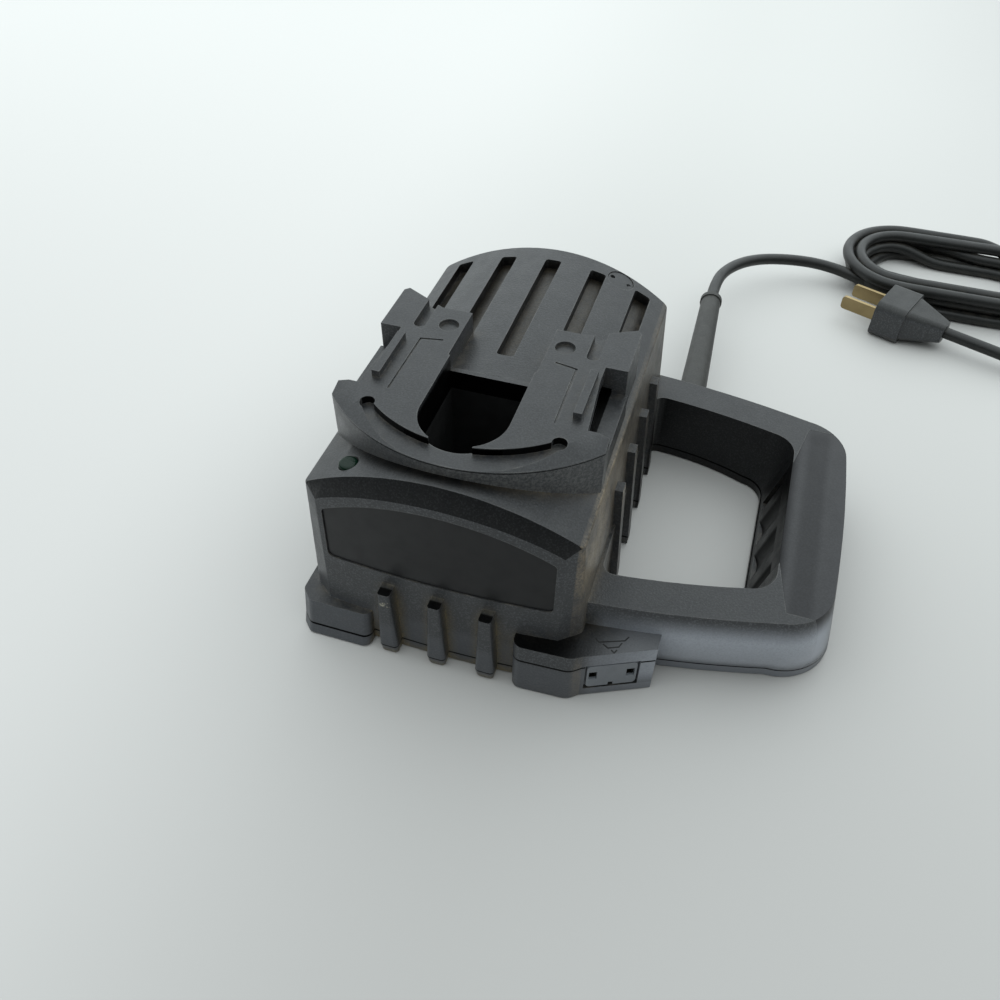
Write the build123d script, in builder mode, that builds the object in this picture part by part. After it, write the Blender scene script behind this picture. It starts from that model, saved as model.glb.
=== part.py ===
"""Charger for a tool battery whose long stem goes down into a well.

An arched tower holds the well, the transformer and the electronics.  A D-shaped
carrying handle stands out on its right, the mains cord leaves the handle's rear
arm, and a dock plate on the roof guides and locks the battery.

Millimetres.  Every size below is given in the tower's own coordinates: x = 0 on
the tower's mid-plane, y = 0 at its front, z = 0 on the table, +Z up, the handle
towards +X.  level(), across() and at() place those coordinates about the
part's origin, which is the middle of the whole footprint.
"""
from build123d import *
import math
import os

os.makedirs("parts", exist_ok=True)

# ---- where the tower stands in the part's frame
CENTRE_X = 37.0
CENTRE_Y = 58.9

# ---- shells
WALL = 2.6
ROOF = 5.6
FOOT = 0.6              # how far the rubber feet lift the base plate
PLATE = 2.4             # base plate thickness
SEAM = 4.0              # height of the joint between the two housings
FIT = 0.15              # clearance between parts that plug together

# ---- tower
TOWER_HALF = 46.0
SIDE_DRAFT = 0.048
FACE_Y = -8.3           # the front's bowed face at the seam
FACE_LEAN = 0.047
FACE_SAG = 2.0
FACE_HALF = 38.6        # a slanted facet runs from here to the upright corner
CORNER_Y = -0.3
BACK_Y = 126.2
BACK_LEAN = 0.02
BACK_SAG = 4.6
TOWER_TOP = 73.3
ARCH_R = 80.0
CORNER_R = 2.5
FACET_R = 0.9
EAVES_R = 1.2

# ---- front face
BAND_R = 66.8           # arc of the wide chamfer under the roof's front edge
BAND_TOP = 60.5         # top of that arc in the plane y = BAND_Y
BAND_Y = -8.5
BAND_RUN = 3.15         # the chamfer goes back by this much ...
BAND_RISE = 6.4         # ... while it climbs by this much
LABEL_HALF = 36.7
LABEL_X = -0.2
LABEL_LOW = 34.0
LABEL_SIDE = 20.2       # height of the recess at its ends
LABEL_RISE = 9.6        # how much higher it is in the middle
LABEL_CORNER = 1.8
LABEL_DEPTH = 0.9
LABEL_THICK = 0.4
RIB_X = 0.4
RIB_PITCH = 16.5
RIB_TOP = 29.7
RIB_HALF_TOP = 2.0
RIB_HALF_BASE = 3.2
RIB_FRONT = -12.6
RIB_LEAN = 0.9
SIDE_RIB_Y = 42.0
SIDE_RIB_PITCH = 19.0
SIDE_RIB_COUNT = 4
SIDE_RIB_TOP = 45.5
SIDE_RIB_HALF = 2.2
SIDE_RIB_OUT = 2.7

# ---- pods at the foot of the front
LEFT_POD_TOP = 13.5
LEFT_POD_X = -48.5
LEFT_POD_END = -23.0
LEFT_POD_FRONT = -11.5
POD_LEAN = 0.15
POD_FLARE = -1.4        # the pod's foot stands further out than its seam
RIGHT_POD_TOP = 21.5
RIGHT_POD_SEAM = 15.5
RIGHT_POD_X = 25.6
RIGHT_POD_FRONT = -12.4
SOCKET_X = 47.6         # where the slanted socket face begins
SOCKET_Y = -8.9
SOCKET_TURN = 24.9      # degrees that the socket face turns back
SOCKET_FACE = 23.3      # length of that face
SOCKET_WIDE = 17.2
SOCKET_TALL = 12.0
SOCKET_LOW = 4.0
SOCKET_DEEP = 11.0
SOCKET_RIM = 1.3        # depth of the open groove round the socket's front plate
SOCKET_GROOVE = 0.6     # width of that groove
SOCKET_PITCH = 12.0
SLEEVE_OUT = 2.6        # width of a socket sleeve
SLEEVE_BORE = 1.4
SLEEVE_TALLER = 1.4     # how much taller than wide the sleeves are

# ---- handle
HANDLE_TOP = 29.5
HANDLE_BELLY = 15.0
HANDLE_MID = 64.6       # y of the loop's line of symmetry
ARM_ROOT = 30.0
ARM_MID = 78.0
ARM_END = 103.0
ARM_ROOT_Y = 4.6
ARM_MID_Y = 10.3
ARM_END_Y = 16.0
SIDE_X = 117.2
SIDE_START = 31.0
GAP_ROOT = 45.8
GAP_MID = 72.0
GAP_SIDE_TOP = 99.5
GAP_SIDE_BASE = 92.5
GAP_ROOT_Y = 18.6
GAP_MID_Y = 22.2
GAP_END_Y = 26.6
ARM_BULGE = -2.0        # how far the arms swell at half height
ARM_TUCK = 1.2          # how far they draw in at the seam
SIDE_BULGE = 2.6
SIDE_FLARE = 4.2
GRIP_SKIN = 2.6
GRIP_BASE = 6.5
GRIP_END = 20.5
SCALLOP_R = 12.0
SCALLOP_DEEP = 1.3
SCALLOP_PITCH = 17.0

# ---- dock on the roof
LAND_TOP = 79.5
LIP_TOP = 77.0
RAMP_WIDE = 6.0         # the wing's top climbs from the lip to the land over this width
CRESCENT_R = 37.7       # outer arc of the sunk crescent between the keyholes
CRESCENT_APEX = 2.1
LEDGE_TOP = 70.3
LIP_R = 56.1
LIP_APEX = 2.6
WING_HALF = 42.3
WING_STRAIGHT = 5.05     # length of the wing's straight side, behind the lip's arc
LEDGE_HALF = 41.8
LEDGE_BACK = 57.0
LAND_R = 43.0
LAND_APEX = 9.3
LAND_FRONT_HALF = 35.9
LAND_WAIST_HALF = 33.9
LAND_BACK = 71.5
LAND_GAP_HALF = 6.6     # the well interrupts the land's front edge over this half width
BLOCK_HALF = 41.0
BLOCK_FRONT = 57.0
BLOCK_BACK = 79.0
KEYHOLE_X = 29.4
KEYHOLE_Y = 19.4
KEYHOLE_R = 2.3
BAR_IN = 30.2
BAR_OUT = 32.8
BAR_FRONT = 30.8
BAR_BACK = 52.0
BAR_HIGH = 2.2
POCKET_X = 28.9
POCKET_HALF = 2.0
POCKET_FRONT = 59.0
POCKET_DEEP = 2.6
DENT_X = 19.5
DENT_Y = 62.8
DENT_R = 3.3
DENT_DEEP = 1.2
LINE_WIDE = 0.7
LINE_DEEP = 0.4
CHANNEL_HALF = 14.4

# ---- well
WELL_HALF = 13.8
WELL_FRONT = 22.4       # centre of the well's round front
WELL_BACK = 48.0
WELL_FLOOR = 20.0
WELL_WALL = 1.8
SPIGOT_LOW = 66.5
BLOCK_LOW = 14.0
CONTACT_WIDE = 5.0
CONTACT_THICK = 0.8
CONTACT_TOP = 41.0
CONTACT_INSET = 3.3     # from the well's wall to the contact's inner face
CONTACT_SLOT = 2.8
CONTACT_Y = 36.0
CONTACT_GAP = 0.3

# ---- roof details
SLOT_PITCH = 17.0
SLOT_WIDE = 5.8
SLOT_CORNER = 1.0
SLOT_DEEP = 3.6
SLOT_BACK = 121.3
SLOT_FRONT = 61.0
PLUG_X = 25.2
PLUG_Y = 122.3
PLUG_R = 4.7
PLUG_DEEP = 2.4
LED_X = -30.1
LED_Y = 4.4
LED_R = 3.0
LED_TOP = 68.1
LENS_LOW = 55.8
LENS_RIM = 0.5          # the lens is held from below by this rim

# ---- inside
BOARD_Z = 9.0
BOARD_THICK = 1.6
BOARD_HALF = 34.0
BOARD_FRONT = 0.5
BOARD_BACK = 54.0
BOARD_POST_X = 30.0
BOARD_POST_Y = 47.0
PEDESTAL_X = 9.0
PEDESTAL_Y = 30.0
PEDESTAL_R = 2.5
POST_R = 3.0
CORE_Y = 92.0
CORE_WIDE = 57.0
CORE_HIGH = 47.5
CORE_STACK = 30.0
CORE_LOW = 6.5
CORE_LEG = 9.5
CORE_WINDOW = 9.5
STRAP = 1.0
EAR_REACH = 8.5
EAR_THICK = 1.2
BOBBIN_WALL = 1.0
WINDING = 7.0

# ---- screws and feet
BOSS_R = 4.0
BOSS_LOW = 9.0
BOSS_HIGH = 34.0
PILOT_R = 1.25
SCREW_R = 1.2
SCREW_WAY_R = 1.7
SCREW_HEAD_R = 2.9
SCREW_HEAD = 2.0
SCREW_LONG = 14.0
COUNTERBORE_R = 3.1
COUNTERBORE = 5.0
FOOT_R = 5.0
FOOT_SUNK = 0.8
BOARD_SCREW_R = 1.0

# ---- mains cord
CORD_D = 5.2
RELIEF_X = 58.4
RELIEF_Z = 19.0
RELIEF_R = 5.5
RELIEF_TIP_R = 4.3
RELIEF_END = 198.0
RELIEF_DRIFT = 3.0      # sideways shift of the tip
NECK_R = 4.4
FLANGE_R = 6.4
FLANGE_THICK = 2.2
ARM_WALL_Y = 121.6      # outer face of the rear arm where the relief leaves it
COLLAR = 2.2

TIP_X = RELIEF_X - RELIEF_DRIFT
CORD_ROUTE = [
    (TIP_X, RELIEF_END, RELIEF_Z),
    (54.8, 214.0, 19.0),
    (59.2, 230.0, 18.0),
    (69.5, 245.0, 15.8),
    (85.0, 255.5, 12.8),
    (102.0, 262.0, 9.6),
    (119.0, 258.5, 8.0),
]
COIL_X = 163.5
COIL_Y = 275.0
COIL_R = 22.0           # radius of the hank's round ends at the middle of the turns
COIL_STRAIGHT = 45.0
COIL_WIDE = 15.6
COIL_TALL = 14.2
PLUG_REAR = (160.0, 222.0, 8.5)
TAIL_ROUTE = [
    PLUG_REAR,
    (180.0, 214.0, 8.5),
    (202.0, 211.0, 5.0),
    (220.0, 216.0, 3.0),
    (231.0, 230.0, 3.4),
    (230.0, 247.0, 4.8),
    (216.0, 257.0, 6.4),
    (198.0, 256.5, 7.2),
]
PLUG_LONG = 30.0
PLUG_WIDE = 24.0
PLUG_TALL = 17.0
BLADE_LONG = 17.0
BLADE_WIDE = 6.3
BLADE_THICK = 1.5
BLADE_PITCH = 12.7


def level(z):
    """Horizontal plane at height z, in the tower's x and y."""
    return Plane(origin=(-CENTRE_X, -CENTRE_Y, z))


def across(y):
    """Upright plane that faces the front: its axes are the tower's x and z."""
    return Plane(origin=(-CENTRE_X, y - CENTRE_Y, 0), x_dir=(1, 0, 0), z_dir=(0, -1, 0))


def at(x, y, z):
    """The point x, y, z of the tower's coordinates in the part's frame."""
    return Vector(x - CENTRE_X, y - CENTRE_Y, z)


def roof_height(x):
    """z of the arched roof."""
    return TOWER_TOP - ARCH_R + math.sqrt(ARCH_R ** 2 - x ** 2)


# ======================================================================
# Solid blocks that the housings are cut from
# ======================================================================
def tower_outline(z, inset):
    half = TOWER_HALF - SIDE_DRAFT * (z - SEAM) - inset
    face = FACE_Y + FACE_LEAN * (z - SEAM) + inset
    face_half = FACE_HALF - 0.4 * inset
    corner = CORNER_Y + 0.4 * inset
    back = BACK_Y - BACK_LEAN * (z - SEAM) - inset
    with BuildSketch(level(z)) as outline:
        with BuildLine():
            ThreePointArc((-face_half, face + FACE_SAG), (0, face), (face_half, face + FACE_SAG))
            Polyline((face_half, face + FACE_SAG), (half, corner), (half, back))
            ThreePointArc((half, back), (0, back + BACK_SAG), (-half, back))
            Polyline((-half, back), (-half, corner), (-face_half, face + FACE_SAG))
        make_face()
        fillet(outline.vertices().sort_by(Axis.Y)[-4:], CORNER_R)
        fillet(outline.vertices().sort_by(Axis.Y)[:2], FACET_R)
    return outline.sketch


def tower_block(bottom, inset, roof):
    """The leaning, arched block, drawn in by inset at the walls and by roof on top."""
    with BuildPart() as block:
        loft(sections=[tower_outline(bottom, inset), tower_outline(TOWER_TOP + 2, inset)])
        with BuildSketch(across(-60)):
            with Locations((0, TOWER_TOP - ARCH_R)):
                Circle(ARCH_R - roof)
        extrude(amount=-260, mode=Mode.INTERSECT)
    return block.part


def handle_outline(z, tuck, flare, inset):
    """Outside of the loop at height z."""
    front = tuck + inset
    side = SIDE_X + flare - inset
    mirror_y = 2 * HANDLE_MID
    corner = (ARM_END + 9.5 + 0.7 * (flare - inset), ARM_END_Y + 4.8 + 0.7 * front)
    with BuildSketch(level(z)) as outline:
        with BuildLine():
            ThreePointArc((ARM_ROOT, ARM_ROOT_Y + front), (ARM_MID, ARM_MID_Y + front),
                          (ARM_END, ARM_END_Y + front))
            ThreePointArc((ARM_END, ARM_END_Y + front), corner, (side, SIDE_START))
            ThreePointArc((side, SIDE_START), (side + 1, HANDLE_MID), (side, mirror_y - SIDE_START))
            ThreePointArc((side, mirror_y - SIDE_START), (corner[0], mirror_y - corner[1]),
                          (ARM_END, mirror_y - ARM_END_Y - front))
            ThreePointArc((ARM_END, mirror_y - ARM_END_Y - front),
                          (ARM_MID, mirror_y - ARM_MID_Y - front),
                          (ARM_ROOT, mirror_y - ARM_ROOT_Y - front))
            Line((ARM_ROOT, mirror_y - ARM_ROOT_Y - front), (ARM_ROOT, ARM_ROOT_Y + front))
        make_face()
    return outline.sketch


def gap_outline(z, side, shift, inset):
    """The hand gap inside the loop at height z; inset widens it."""
    root = GAP_ROOT - inset
    reach = side + inset
    grow = shift - inset
    mirror_y = 2 * HANDLE_MID
    with BuildSketch(level(z)) as gap:
        with BuildLine():
            ThreePointArc((root, GAP_ROOT_Y + grow), (GAP_MID, GAP_MID_Y + grow),
                          (reach - 8, GAP_END_Y + grow))
            ThreePointArc((reach - 8, GAP_END_Y + grow), (reach - 2.4, GAP_END_Y + 3 + grow),
                          (reach, GAP_END_Y + 9 + grow))
            Line((reach, GAP_END_Y + 9 + grow), (reach, mirror_y - GAP_END_Y - 9 - grow))
            ThreePointArc((reach, mirror_y - GAP_END_Y - 9 - grow),
                          (reach - 2.4, mirror_y - GAP_END_Y - 3 - grow),
                          (reach - 8, mirror_y - GAP_END_Y - grow))
            ThreePointArc((reach - 8, mirror_y - GAP_END_Y - grow),
                          (GAP_MID, mirror_y - GAP_MID_Y - grow),
                          (root, mirror_y - GAP_ROOT_Y - grow))
            Line((root, mirror_y - GAP_ROOT_Y - grow), (root, GAP_ROOT_Y + grow))
        make_face()
        fillet(gap.vertices().sort_by(Axis.X)[:2], 4)
    return gap.sketch


def handle_block(bottom, inset, top_inset):
    """The swollen D-shaped loop; inset draws its outside in and widens its gap."""
    top = HANDLE_TOP - top_inset
    with BuildPart() as block:
        loft(sections=[handle_outline(bottom, ARM_TUCK, SIDE_FLARE, inset),
                       handle_outline(HANDLE_BELLY, ARM_BULGE, SIDE_BULGE, inset),
                       handle_outline(top, 0, 0, inset)])
    with BuildPart() as opening:
        loft(sections=[gap_outline(bottom - 1, GAP_SIDE_BASE, -1.3, inset),
                       gap_outline(HANDLE_TOP + 1, GAP_SIDE_TOP, 0, inset)])
    return block.part - opening.part


def handle_slab(bottom, top, inset):
    """The loop's straight foot below the seam."""
    with BuildPart() as slab:
        extrude(handle_outline(bottom, ARM_TUCK, SIDE_FLARE, inset), amount=top - bottom)
    with BuildPart() as opening:
        extrude(gap_outline(bottom - 1, GAP_SIDE_BASE, -1.3, inset), amount=top - bottom + 2)
    return slab.part - opening.part


def left_pod_outline(z, lean, inset):
    with BuildSketch(level(z)) as pod:
        with BuildLine():
            Polyline((LEFT_POD_X + inset, 8), (LEFT_POD_X + inset, LEFT_POD_FRONT + lean + 4),
                     (LEFT_POD_X + inset + 4, LEFT_POD_FRONT + inset + lean),
                     (LEFT_POD_END - inset, LEFT_POD_FRONT + inset + lean),
                     (LEFT_POD_END - inset, 8), close=True)
        make_face()
        fillet(pod.vertices().sort_by(Axis.Y)[:3], 2.0 if inset else 3.0)
    return pod.sketch


def right_pod_outline(z, lean, inset):
    turn = math.radians(SOCKET_TURN)
    end_x = SOCKET_X + SOCKET_FACE * math.cos(turn)
    end_y = SOCKET_Y + SOCKET_FACE * math.sin(turn)
    with BuildSketch(level(z)) as pod:
        with BuildLine():
            Polyline((RIGHT_POD_X + inset, 12), (RIGHT_POD_X + inset, RIGHT_POD_FRONT + inset + lean),
                     (SOCKET_X - 3.2, RIGHT_POD_FRONT + 0.8 + inset + lean),
                     (SOCKET_X - 0.4 * inset, SOCKET_Y + inset * 1.1),
                     (end_x - inset, end_y + inset), (end_x - inset, 12), close=True)
        make_face()
        left, nose = pod.vertices().sort_by(Axis.Y)[:2].sort_by(Axis.X)
        fillet(left, 1.6 if inset else 3.2)
        fillet(pod.vertices().sort_by_distance(nose)[0], 3.0 if inset else 6.0)
    return pod.sketch


def pod_block(outline, bottom, top, lean, inset):
    with BuildPart() as block:
        loft(sections=[outline(bottom, 0, inset), outline(top, lean, inset)])
    return block.part


def rib_outline(x, z, half, front):
    with BuildSketch(level(z)) as rib:
        with Locations((x, (front - 4) / 2)):
            Rectangle(2 * half, -4 - front)
        fillet(rib.vertices().sort_by(Axis.Y)[:2], 0.45 * half)
    return rib.sketch


RIB_XS = [RIB_X - RIB_PITCH, RIB_X, RIB_X + RIB_PITCH]
SIDE_RIB_YS = [SIDE_RIB_Y + i * SIDE_RIB_PITCH for i in range(SIDE_RIB_COUNT)]
BOSSES = [(-40.0, 5.5), (40.0, 5.5), (-40.0, 120.4), (40.0, 120.4), (106.0, 36.0), (106.0, 93.2)]
TOWER_BOSSES = BOSSES[:4]
HANDLE_BOSSES = BOSSES[4:]
HANDLE_BOSS_TOP = HANDLE_TOP - GRIP_SKIN - 1
FEET = [(-38.0, 18.0), (-38.0, 106.0), (34.0, -2.0), (34.0, 106.0), (106.0, 52.0), (106.0, 77.0)]

tower_outer = tower_block(SEAM, 0, 0)
tower_inner = tower_block(SEAM - 1, WALL, ROOF)
handle_outer = handle_block(SEAM, 0, 0)
handle_core = handle_block(SEAM, GRIP_SKIN, GRIP_SKIN)
handle_inner = handle_block(SEAM - 1, WALL, WALL)
grip_inner = handle_block(SEAM - 1, GRIP_SKIN + 2.2, GRIP_SKIN + 2.2)
left_pod = pod_block(left_pod_outline, SEAM, LEFT_POD_TOP, POD_LEAN * LEFT_POD_TOP, 0)
left_pod_inner = pod_block(left_pod_outline, SEAM - 1, LEFT_POD_TOP - WALL,
                           POD_LEAN * LEFT_POD_TOP, WALL)
right_pod = pod_block(right_pod_outline, RIGHT_POD_SEAM, RIGHT_POD_TOP, 0.8, 0)
right_pod_inner = pod_block(right_pod_outline, RIGHT_POD_SEAM - 1, RIGHT_POD_TOP - WALL, 0.8, WALL)



def grip_region(margin):
    """The outer bar's part of the loop, grown by margin towards the arms."""
    near = GRIP_END - margin
    far = 2 * HANDLE_MID - near
    with BuildPart() as region:
        with BuildSketch(level(GRIP_BASE - margin)):
            with BuildLine():
                Polyline((ARM_END + 0.5 - margin, near), (GAP_SIDE_TOP - margin, 40), (90 - margin, 40),
                         (90 - margin, 2 * HANDLE_MID - 40), (GAP_SIDE_TOP - margin, 2 * HANDLE_MID - 40),
                         (ARM_END + 0.5 - margin, far), (135, far), (135, near), close=True)
            make_face()
        extrude(amount=40)
    return region.part


grip_zone = grip_region(0)

socket_plane = Plane(origin=at(SOCKET_X, SOCKET_Y, 0),
                     x_dir=(math.cos(math.radians(SOCKET_TURN)), math.sin(math.radians(SOCKET_TURN)), 0),
                     z_dir=(math.sin(math.radians(SOCKET_TURN)), -math.cos(math.radians(SOCKET_TURN)), 0))
SOCKET_MID = 9.9        # along the slanted face
SOCKET_MID_Z = SOCKET_LOW + SOCKET_TALL / 2

with BuildPart() as socket_hole:
    with BuildSketch(socket_plane.offset(5)):
        with Locations((SOCKET_MID, SOCKET_MID_Z)):
            Rectangle(SOCKET_WIDE + 2 * FIT, SOCKET_TALL + 2 * FIT)
    extrude(amount=-5 - 2 * WALL)

with BuildPart() as socket_way:
    with BuildSketch(socket_plane):
        with Locations((SOCKET_MID, SOCKET_MID_Z)):
            Rectangle(SOCKET_WIDE - 0.8, SOCKET_TALL - 3)
    extrude(amount=-SOCKET_DEEP - 1)
    with BuildSketch(socket_plane):
        with Locations((SOCKET_MID, SOCKET_MID_Z)):
            Rectangle(SOCKET_WIDE - 0.8, 5)
    extrude(amount=-SOCKET_DEEP - 5.5)

with BuildPart() as relief_slot:
    with BuildSketch(across(ARM_WALL_Y - 8)):
        with Locations((RELIEF_X, RELIEF_Z)):
            Circle(NECK_R + FIT)
        with Locations((RELIEF_X, (RELIEF_Z + SEAM) / 2 - 0.5)):
            Rectangle(2 * (NECK_R + FIT), RELIEF_Z - SEAM + 1)
    extrude(amount=-14)


def well_outline(z, grow):
    """The battery stem's section: straight sides, flat back, round front."""
    half = WELL_HALF + grow
    with BuildSketch(level(z)) as stem:
        with BuildLine():
            Line((-half, WELL_BACK + grow), (-half, WELL_FRONT))
            ThreePointArc((-half, WELL_FRONT), (0, WELL_FRONT - half), (half, WELL_FRONT))
            Line((half, WELL_FRONT), (half, WELL_BACK + grow))
            Line((half, WELL_BACK + grow), (-half, WELL_BACK + grow))
        make_face()
    return stem.sketch


# ======================================================================
# upper_housing
# ======================================================================
with BuildPart() as upper_housing:
    add(tower_outer)
    with BuildSketch(across(BAND_Y)):
        with BuildLine():
            band_end = BAND_TOP - BAND_R + math.sqrt(BAND_R ** 2 - (TOWER_HALF + 2) ** 2)
            ThreePointArc((-TOWER_HALF - 2, band_end), (0, BAND_TOP), (TOWER_HALF + 2, band_end))
            Polyline((TOWER_HALF + 2, band_end), (TOWER_HALF + 2, TOWER_TOP + 20),
                     (-TOWER_HALF - 2, TOWER_TOP + 20), (-TOWER_HALF - 2, band_end))
        make_face()
    extrude(amount=3 * math.hypot(BAND_RUN, BAND_RISE), dir=(0, BAND_RUN, BAND_RISE), mode=Mode.SUBTRACT)
    fillet(upper_housing.edges().filter_by(lambda edge: edge.length > 100).sort_by(Axis.Z)[-2:], EAVES_R)
    with BuildSketch(across(-40)) as label_sketch:
        with BuildLine():
            label_side = LABEL_LOW + LABEL_SIDE
            label_right = LABEL_X + LABEL_HALF
            label_left = LABEL_X - LABEL_HALF
            Polyline((label_left, label_side), (label_left, LABEL_LOW), (label_right, LABEL_LOW),
                     (label_right, label_side))
            ThreePointArc((label_right, label_side), (LABEL_X, label_side + LABEL_RISE),
                          (label_left, label_side))
        make_face()
        fillet(label_sketch.vertices(), LABEL_CORNER)
    label_zone = extrude(amount=-60, mode=Mode.PRIVATE)
    add(label_zone & (tower_outer - tower_block(SEAM, LABEL_DEPTH, 0)), mode=Mode.SUBTRACT)
    for rib_x in RIB_XS:
        loft(sections=[rib_outline(rib_x, SEAM, RIB_HALF_BASE, RIB_FRONT),
                       rib_outline(rib_x, RIB_TOP, RIB_HALF_TOP, RIB_FRONT + RIB_LEAN)])
    for rib_y in SIDE_RIB_YS:
        for rib_z in (SEAM, SIDE_RIB_TOP):
            wall_x = TOWER_HALF - SIDE_DRAFT * (rib_z - SEAM)
            with BuildSketch(level(rib_z)):
                with Locations((wall_x + SIDE_RIB_OUT / 2 - 2, rib_y)):
                    Rectangle(SIDE_RIB_OUT + 4, 2 * SIDE_RIB_HALF)
        loft()
    add(left_pod)
    add(right_pod)
    add(handle_outer - grip_zone)
    add(handle_core & grip_zone)
    add(tower_inner, mode=Mode.SUBTRACT)
    add(left_pod_inner, mode=Mode.SUBTRACT)
    add(right_pod_inner, mode=Mode.SUBTRACT)
    add(handle_inner - grip_region(WALL), mode=Mode.SUBTRACT)
    add(grip_inner, mode=Mode.SUBTRACT)
    with BuildSketch(level(SEAM)):
        with Locations(*TOWER_BOSSES):
            Circle(BOSS_R + FIT)
    extrude(amount=BOSS_LOW - SEAM, mode=Mode.SUBTRACT)
    with BuildSketch(level(BOSS_LOW)):
        with Locations(*TOWER_BOSSES):
            Circle(BOSS_R)
    extrude(amount=BOSS_HIGH - BOSS_LOW)
    with BuildSketch(level(BOSS_LOW)):
        with Locations(*HANDLE_BOSSES):
            Circle(BOSS_R)
    extrude(amount=HANDLE_BOSS_TOP - BOSS_LOW)
    with BuildSketch(level(BOSS_LOW)):
        with Locations(*BOSSES):
            Circle(PILOT_R)
    extrude(amount=SCREW_LONG + 1, mode=Mode.SUBTRACT)
    extrude(well_outline(60, WELL_WALL + FIT), amount=30, mode=Mode.SUBTRACT)
    with BuildSketch(level(60)):
        for i in range(-2, 3):
            with Locations((i * SLOT_PITCH, (SLOT_FRONT + SLOT_BACK) / 2)):
                RectangleRounded(SLOT_WIDE, SLOT_BACK - SLOT_FRONT, SLOT_CORNER)
    slot_prism = extrude(amount=30, mode=Mode.PRIVATE)
    add(slot_prism - tower_block(SEAM, 0, SLOT_DEEP), mode=Mode.SUBTRACT)
    with BuildSketch(level(roof_height(PLUG_X) - PLUG_DEEP - 1)):
        with Locations((PLUG_X, PLUG_Y)):
            Circle(PLUG_R + FIT)
    extrude(amount=20, mode=Mode.SUBTRACT)
    with BuildSketch(level(40)):
        with Locations((LED_X, LED_Y)):
            Circle(LED_R + FIT)
    extrude(amount=40, mode=Mode.SUBTRACT)
    add(socket_hole.part, mode=Mode.SUBTRACT)
    add(socket_way.part, mode=Mode.SUBTRACT)
    add(relief_slot.part, mode=Mode.SUBTRACT)
upper_housing.part.label = "upper_housing"
export_step(upper_housing.part, "parts/upper_housing.step")


# ======================================================================
# lower_housing: base plate, low walls, posts and the lower half of the right pod
# ======================================================================
PLATE_TOP = FOOT + PLATE
EAR_X = CORE_WIDE / 2 + STRAP + EAR_REACH / 2
BOARD_POSTS = [(x, y) for x in (-BOARD_POST_X, BOARD_POST_X) for y in (BOARD_POST_Y - 40, BOARD_POST_Y)]
PEDESTALS = [(-PEDESTAL_X, PEDESTAL_Y), (PEDESTAL_X, PEDESTAL_Y)]
EARS = [(-EAR_X, CORE_Y), (EAR_X, CORE_Y)]
handle_wall = handle_outer - handle_inner

with BuildPart() as tongue:
    with BuildSketch(across(ARM_WALL_Y - 8)):
        with Locations((RELIEF_X, (RELIEF_Z + SEAM) / 2)):
            Rectangle(2 * NECK_R, RELIEF_Z - SEAM)
        with Locations((RELIEF_X, RELIEF_Z)):
            Circle(NECK_R + FIT, mode=Mode.SUBTRACT)
    extrude(amount=-14)
    add(handle_wall, mode=Mode.INTERSECT)

with BuildPart() as lower_housing:
    loft(sections=[tower_outline(FOOT, 0), tower_outline(SEAM, 0)])
    loft(sections=[left_pod_outline(FOOT, POD_FLARE, 0), left_pod_outline(SEAM, 0, 0)])
    for rib_x in RIB_XS:
        loft(sections=[rib_outline(rib_x, FOOT, RIB_HALF_BASE - 0.3, RIB_FRONT + 0.6),
                       rib_outline(rib_x, SEAM, RIB_HALF_BASE, RIB_FRONT)])
    with BuildSketch(level(FOOT)):
        for rib_y in SIDE_RIB_YS:
            with Locations((TOWER_HALF + SIDE_RIB_OUT / 2 - 2, rib_y)):
                Rectangle(SIDE_RIB_OUT + 4, 2 * SIDE_RIB_HALF)
    extrude(amount=SEAM - FOOT)
    add(handle_slab(FOOT, SEAM, 0))
    pod_low = pod_block(right_pod_outline, FOOT, RIGHT_POD_SEAM, 0, 0)
    pod_hollow = pod_block(right_pod_outline, PLATE_TOP, RIGHT_POD_SEAM + 1, 0, WALL)
    add(pod_low - pod_hollow - tower_outer - handle_outer)
    extrude(tower_outline(PLATE_TOP, WALL), amount=2, mode=Mode.SUBTRACT)
    add(handle_slab(PLATE_TOP, SEAM + 1, WALL), mode=Mode.SUBTRACT)
    extrude(left_pod_outline(PLATE_TOP, 0, WALL), amount=2, mode=Mode.SUBTRACT)
    add(tongue.part)
    with BuildSketch(level(PLATE_TOP)):
        with Locations(*BOSSES):
            Circle(BOSS_R)
    extrude(amount=BOSS_LOW - PLATE_TOP)
    with BuildSketch(level(FOOT)):
        with Locations(*BOSSES):
            Circle(SCREW_WAY_R)
    extrude(amount=BOSS_LOW, mode=Mode.SUBTRACT)
    with BuildSketch(level(FOOT)):
        with Locations(*BOSSES):
            Circle(COUNTERBORE_R)
    extrude(amount=COUNTERBORE, mode=Mode.SUBTRACT)
    with BuildSketch(level(FOOT)):
        with Locations(*FEET):
            Circle(FOOT_R + FIT)
    extrude(amount=FOOT_SUNK, mode=Mode.SUBTRACT)
    with BuildSketch(level(PLATE_TOP)):
        with Locations(*BOARD_POSTS):
            Circle(POST_R)
            Circle(BOARD_SCREW_R, mode=Mode.SUBTRACT)
    extrude(amount=BOARD_Z - PLATE_TOP)
    with BuildSketch(level(PLATE_TOP)):
        with Locations(*PEDESTALS):
            Circle(PEDESTAL_R)
    extrude(amount=BLOCK_LOW - PLATE_TOP)
    with BuildSketch(level(PLATE_TOP)):
        with Locations(*EARS):
            Circle(BOSS_R)
            Circle(PILOT_R, mode=Mode.SUBTRACT)
        with Locations((-CORE_WIDE / 3, CORE_Y), (CORE_WIDE / 3, CORE_Y)):
            Rectangle(4, CORE_STACK)
    extrude(amount=CORE_LOW - PLATE_TOP)
    add(socket_hole.part, mode=Mode.SUBTRACT)
    add(socket_way.part, mode=Mode.SUBTRACT)
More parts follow.
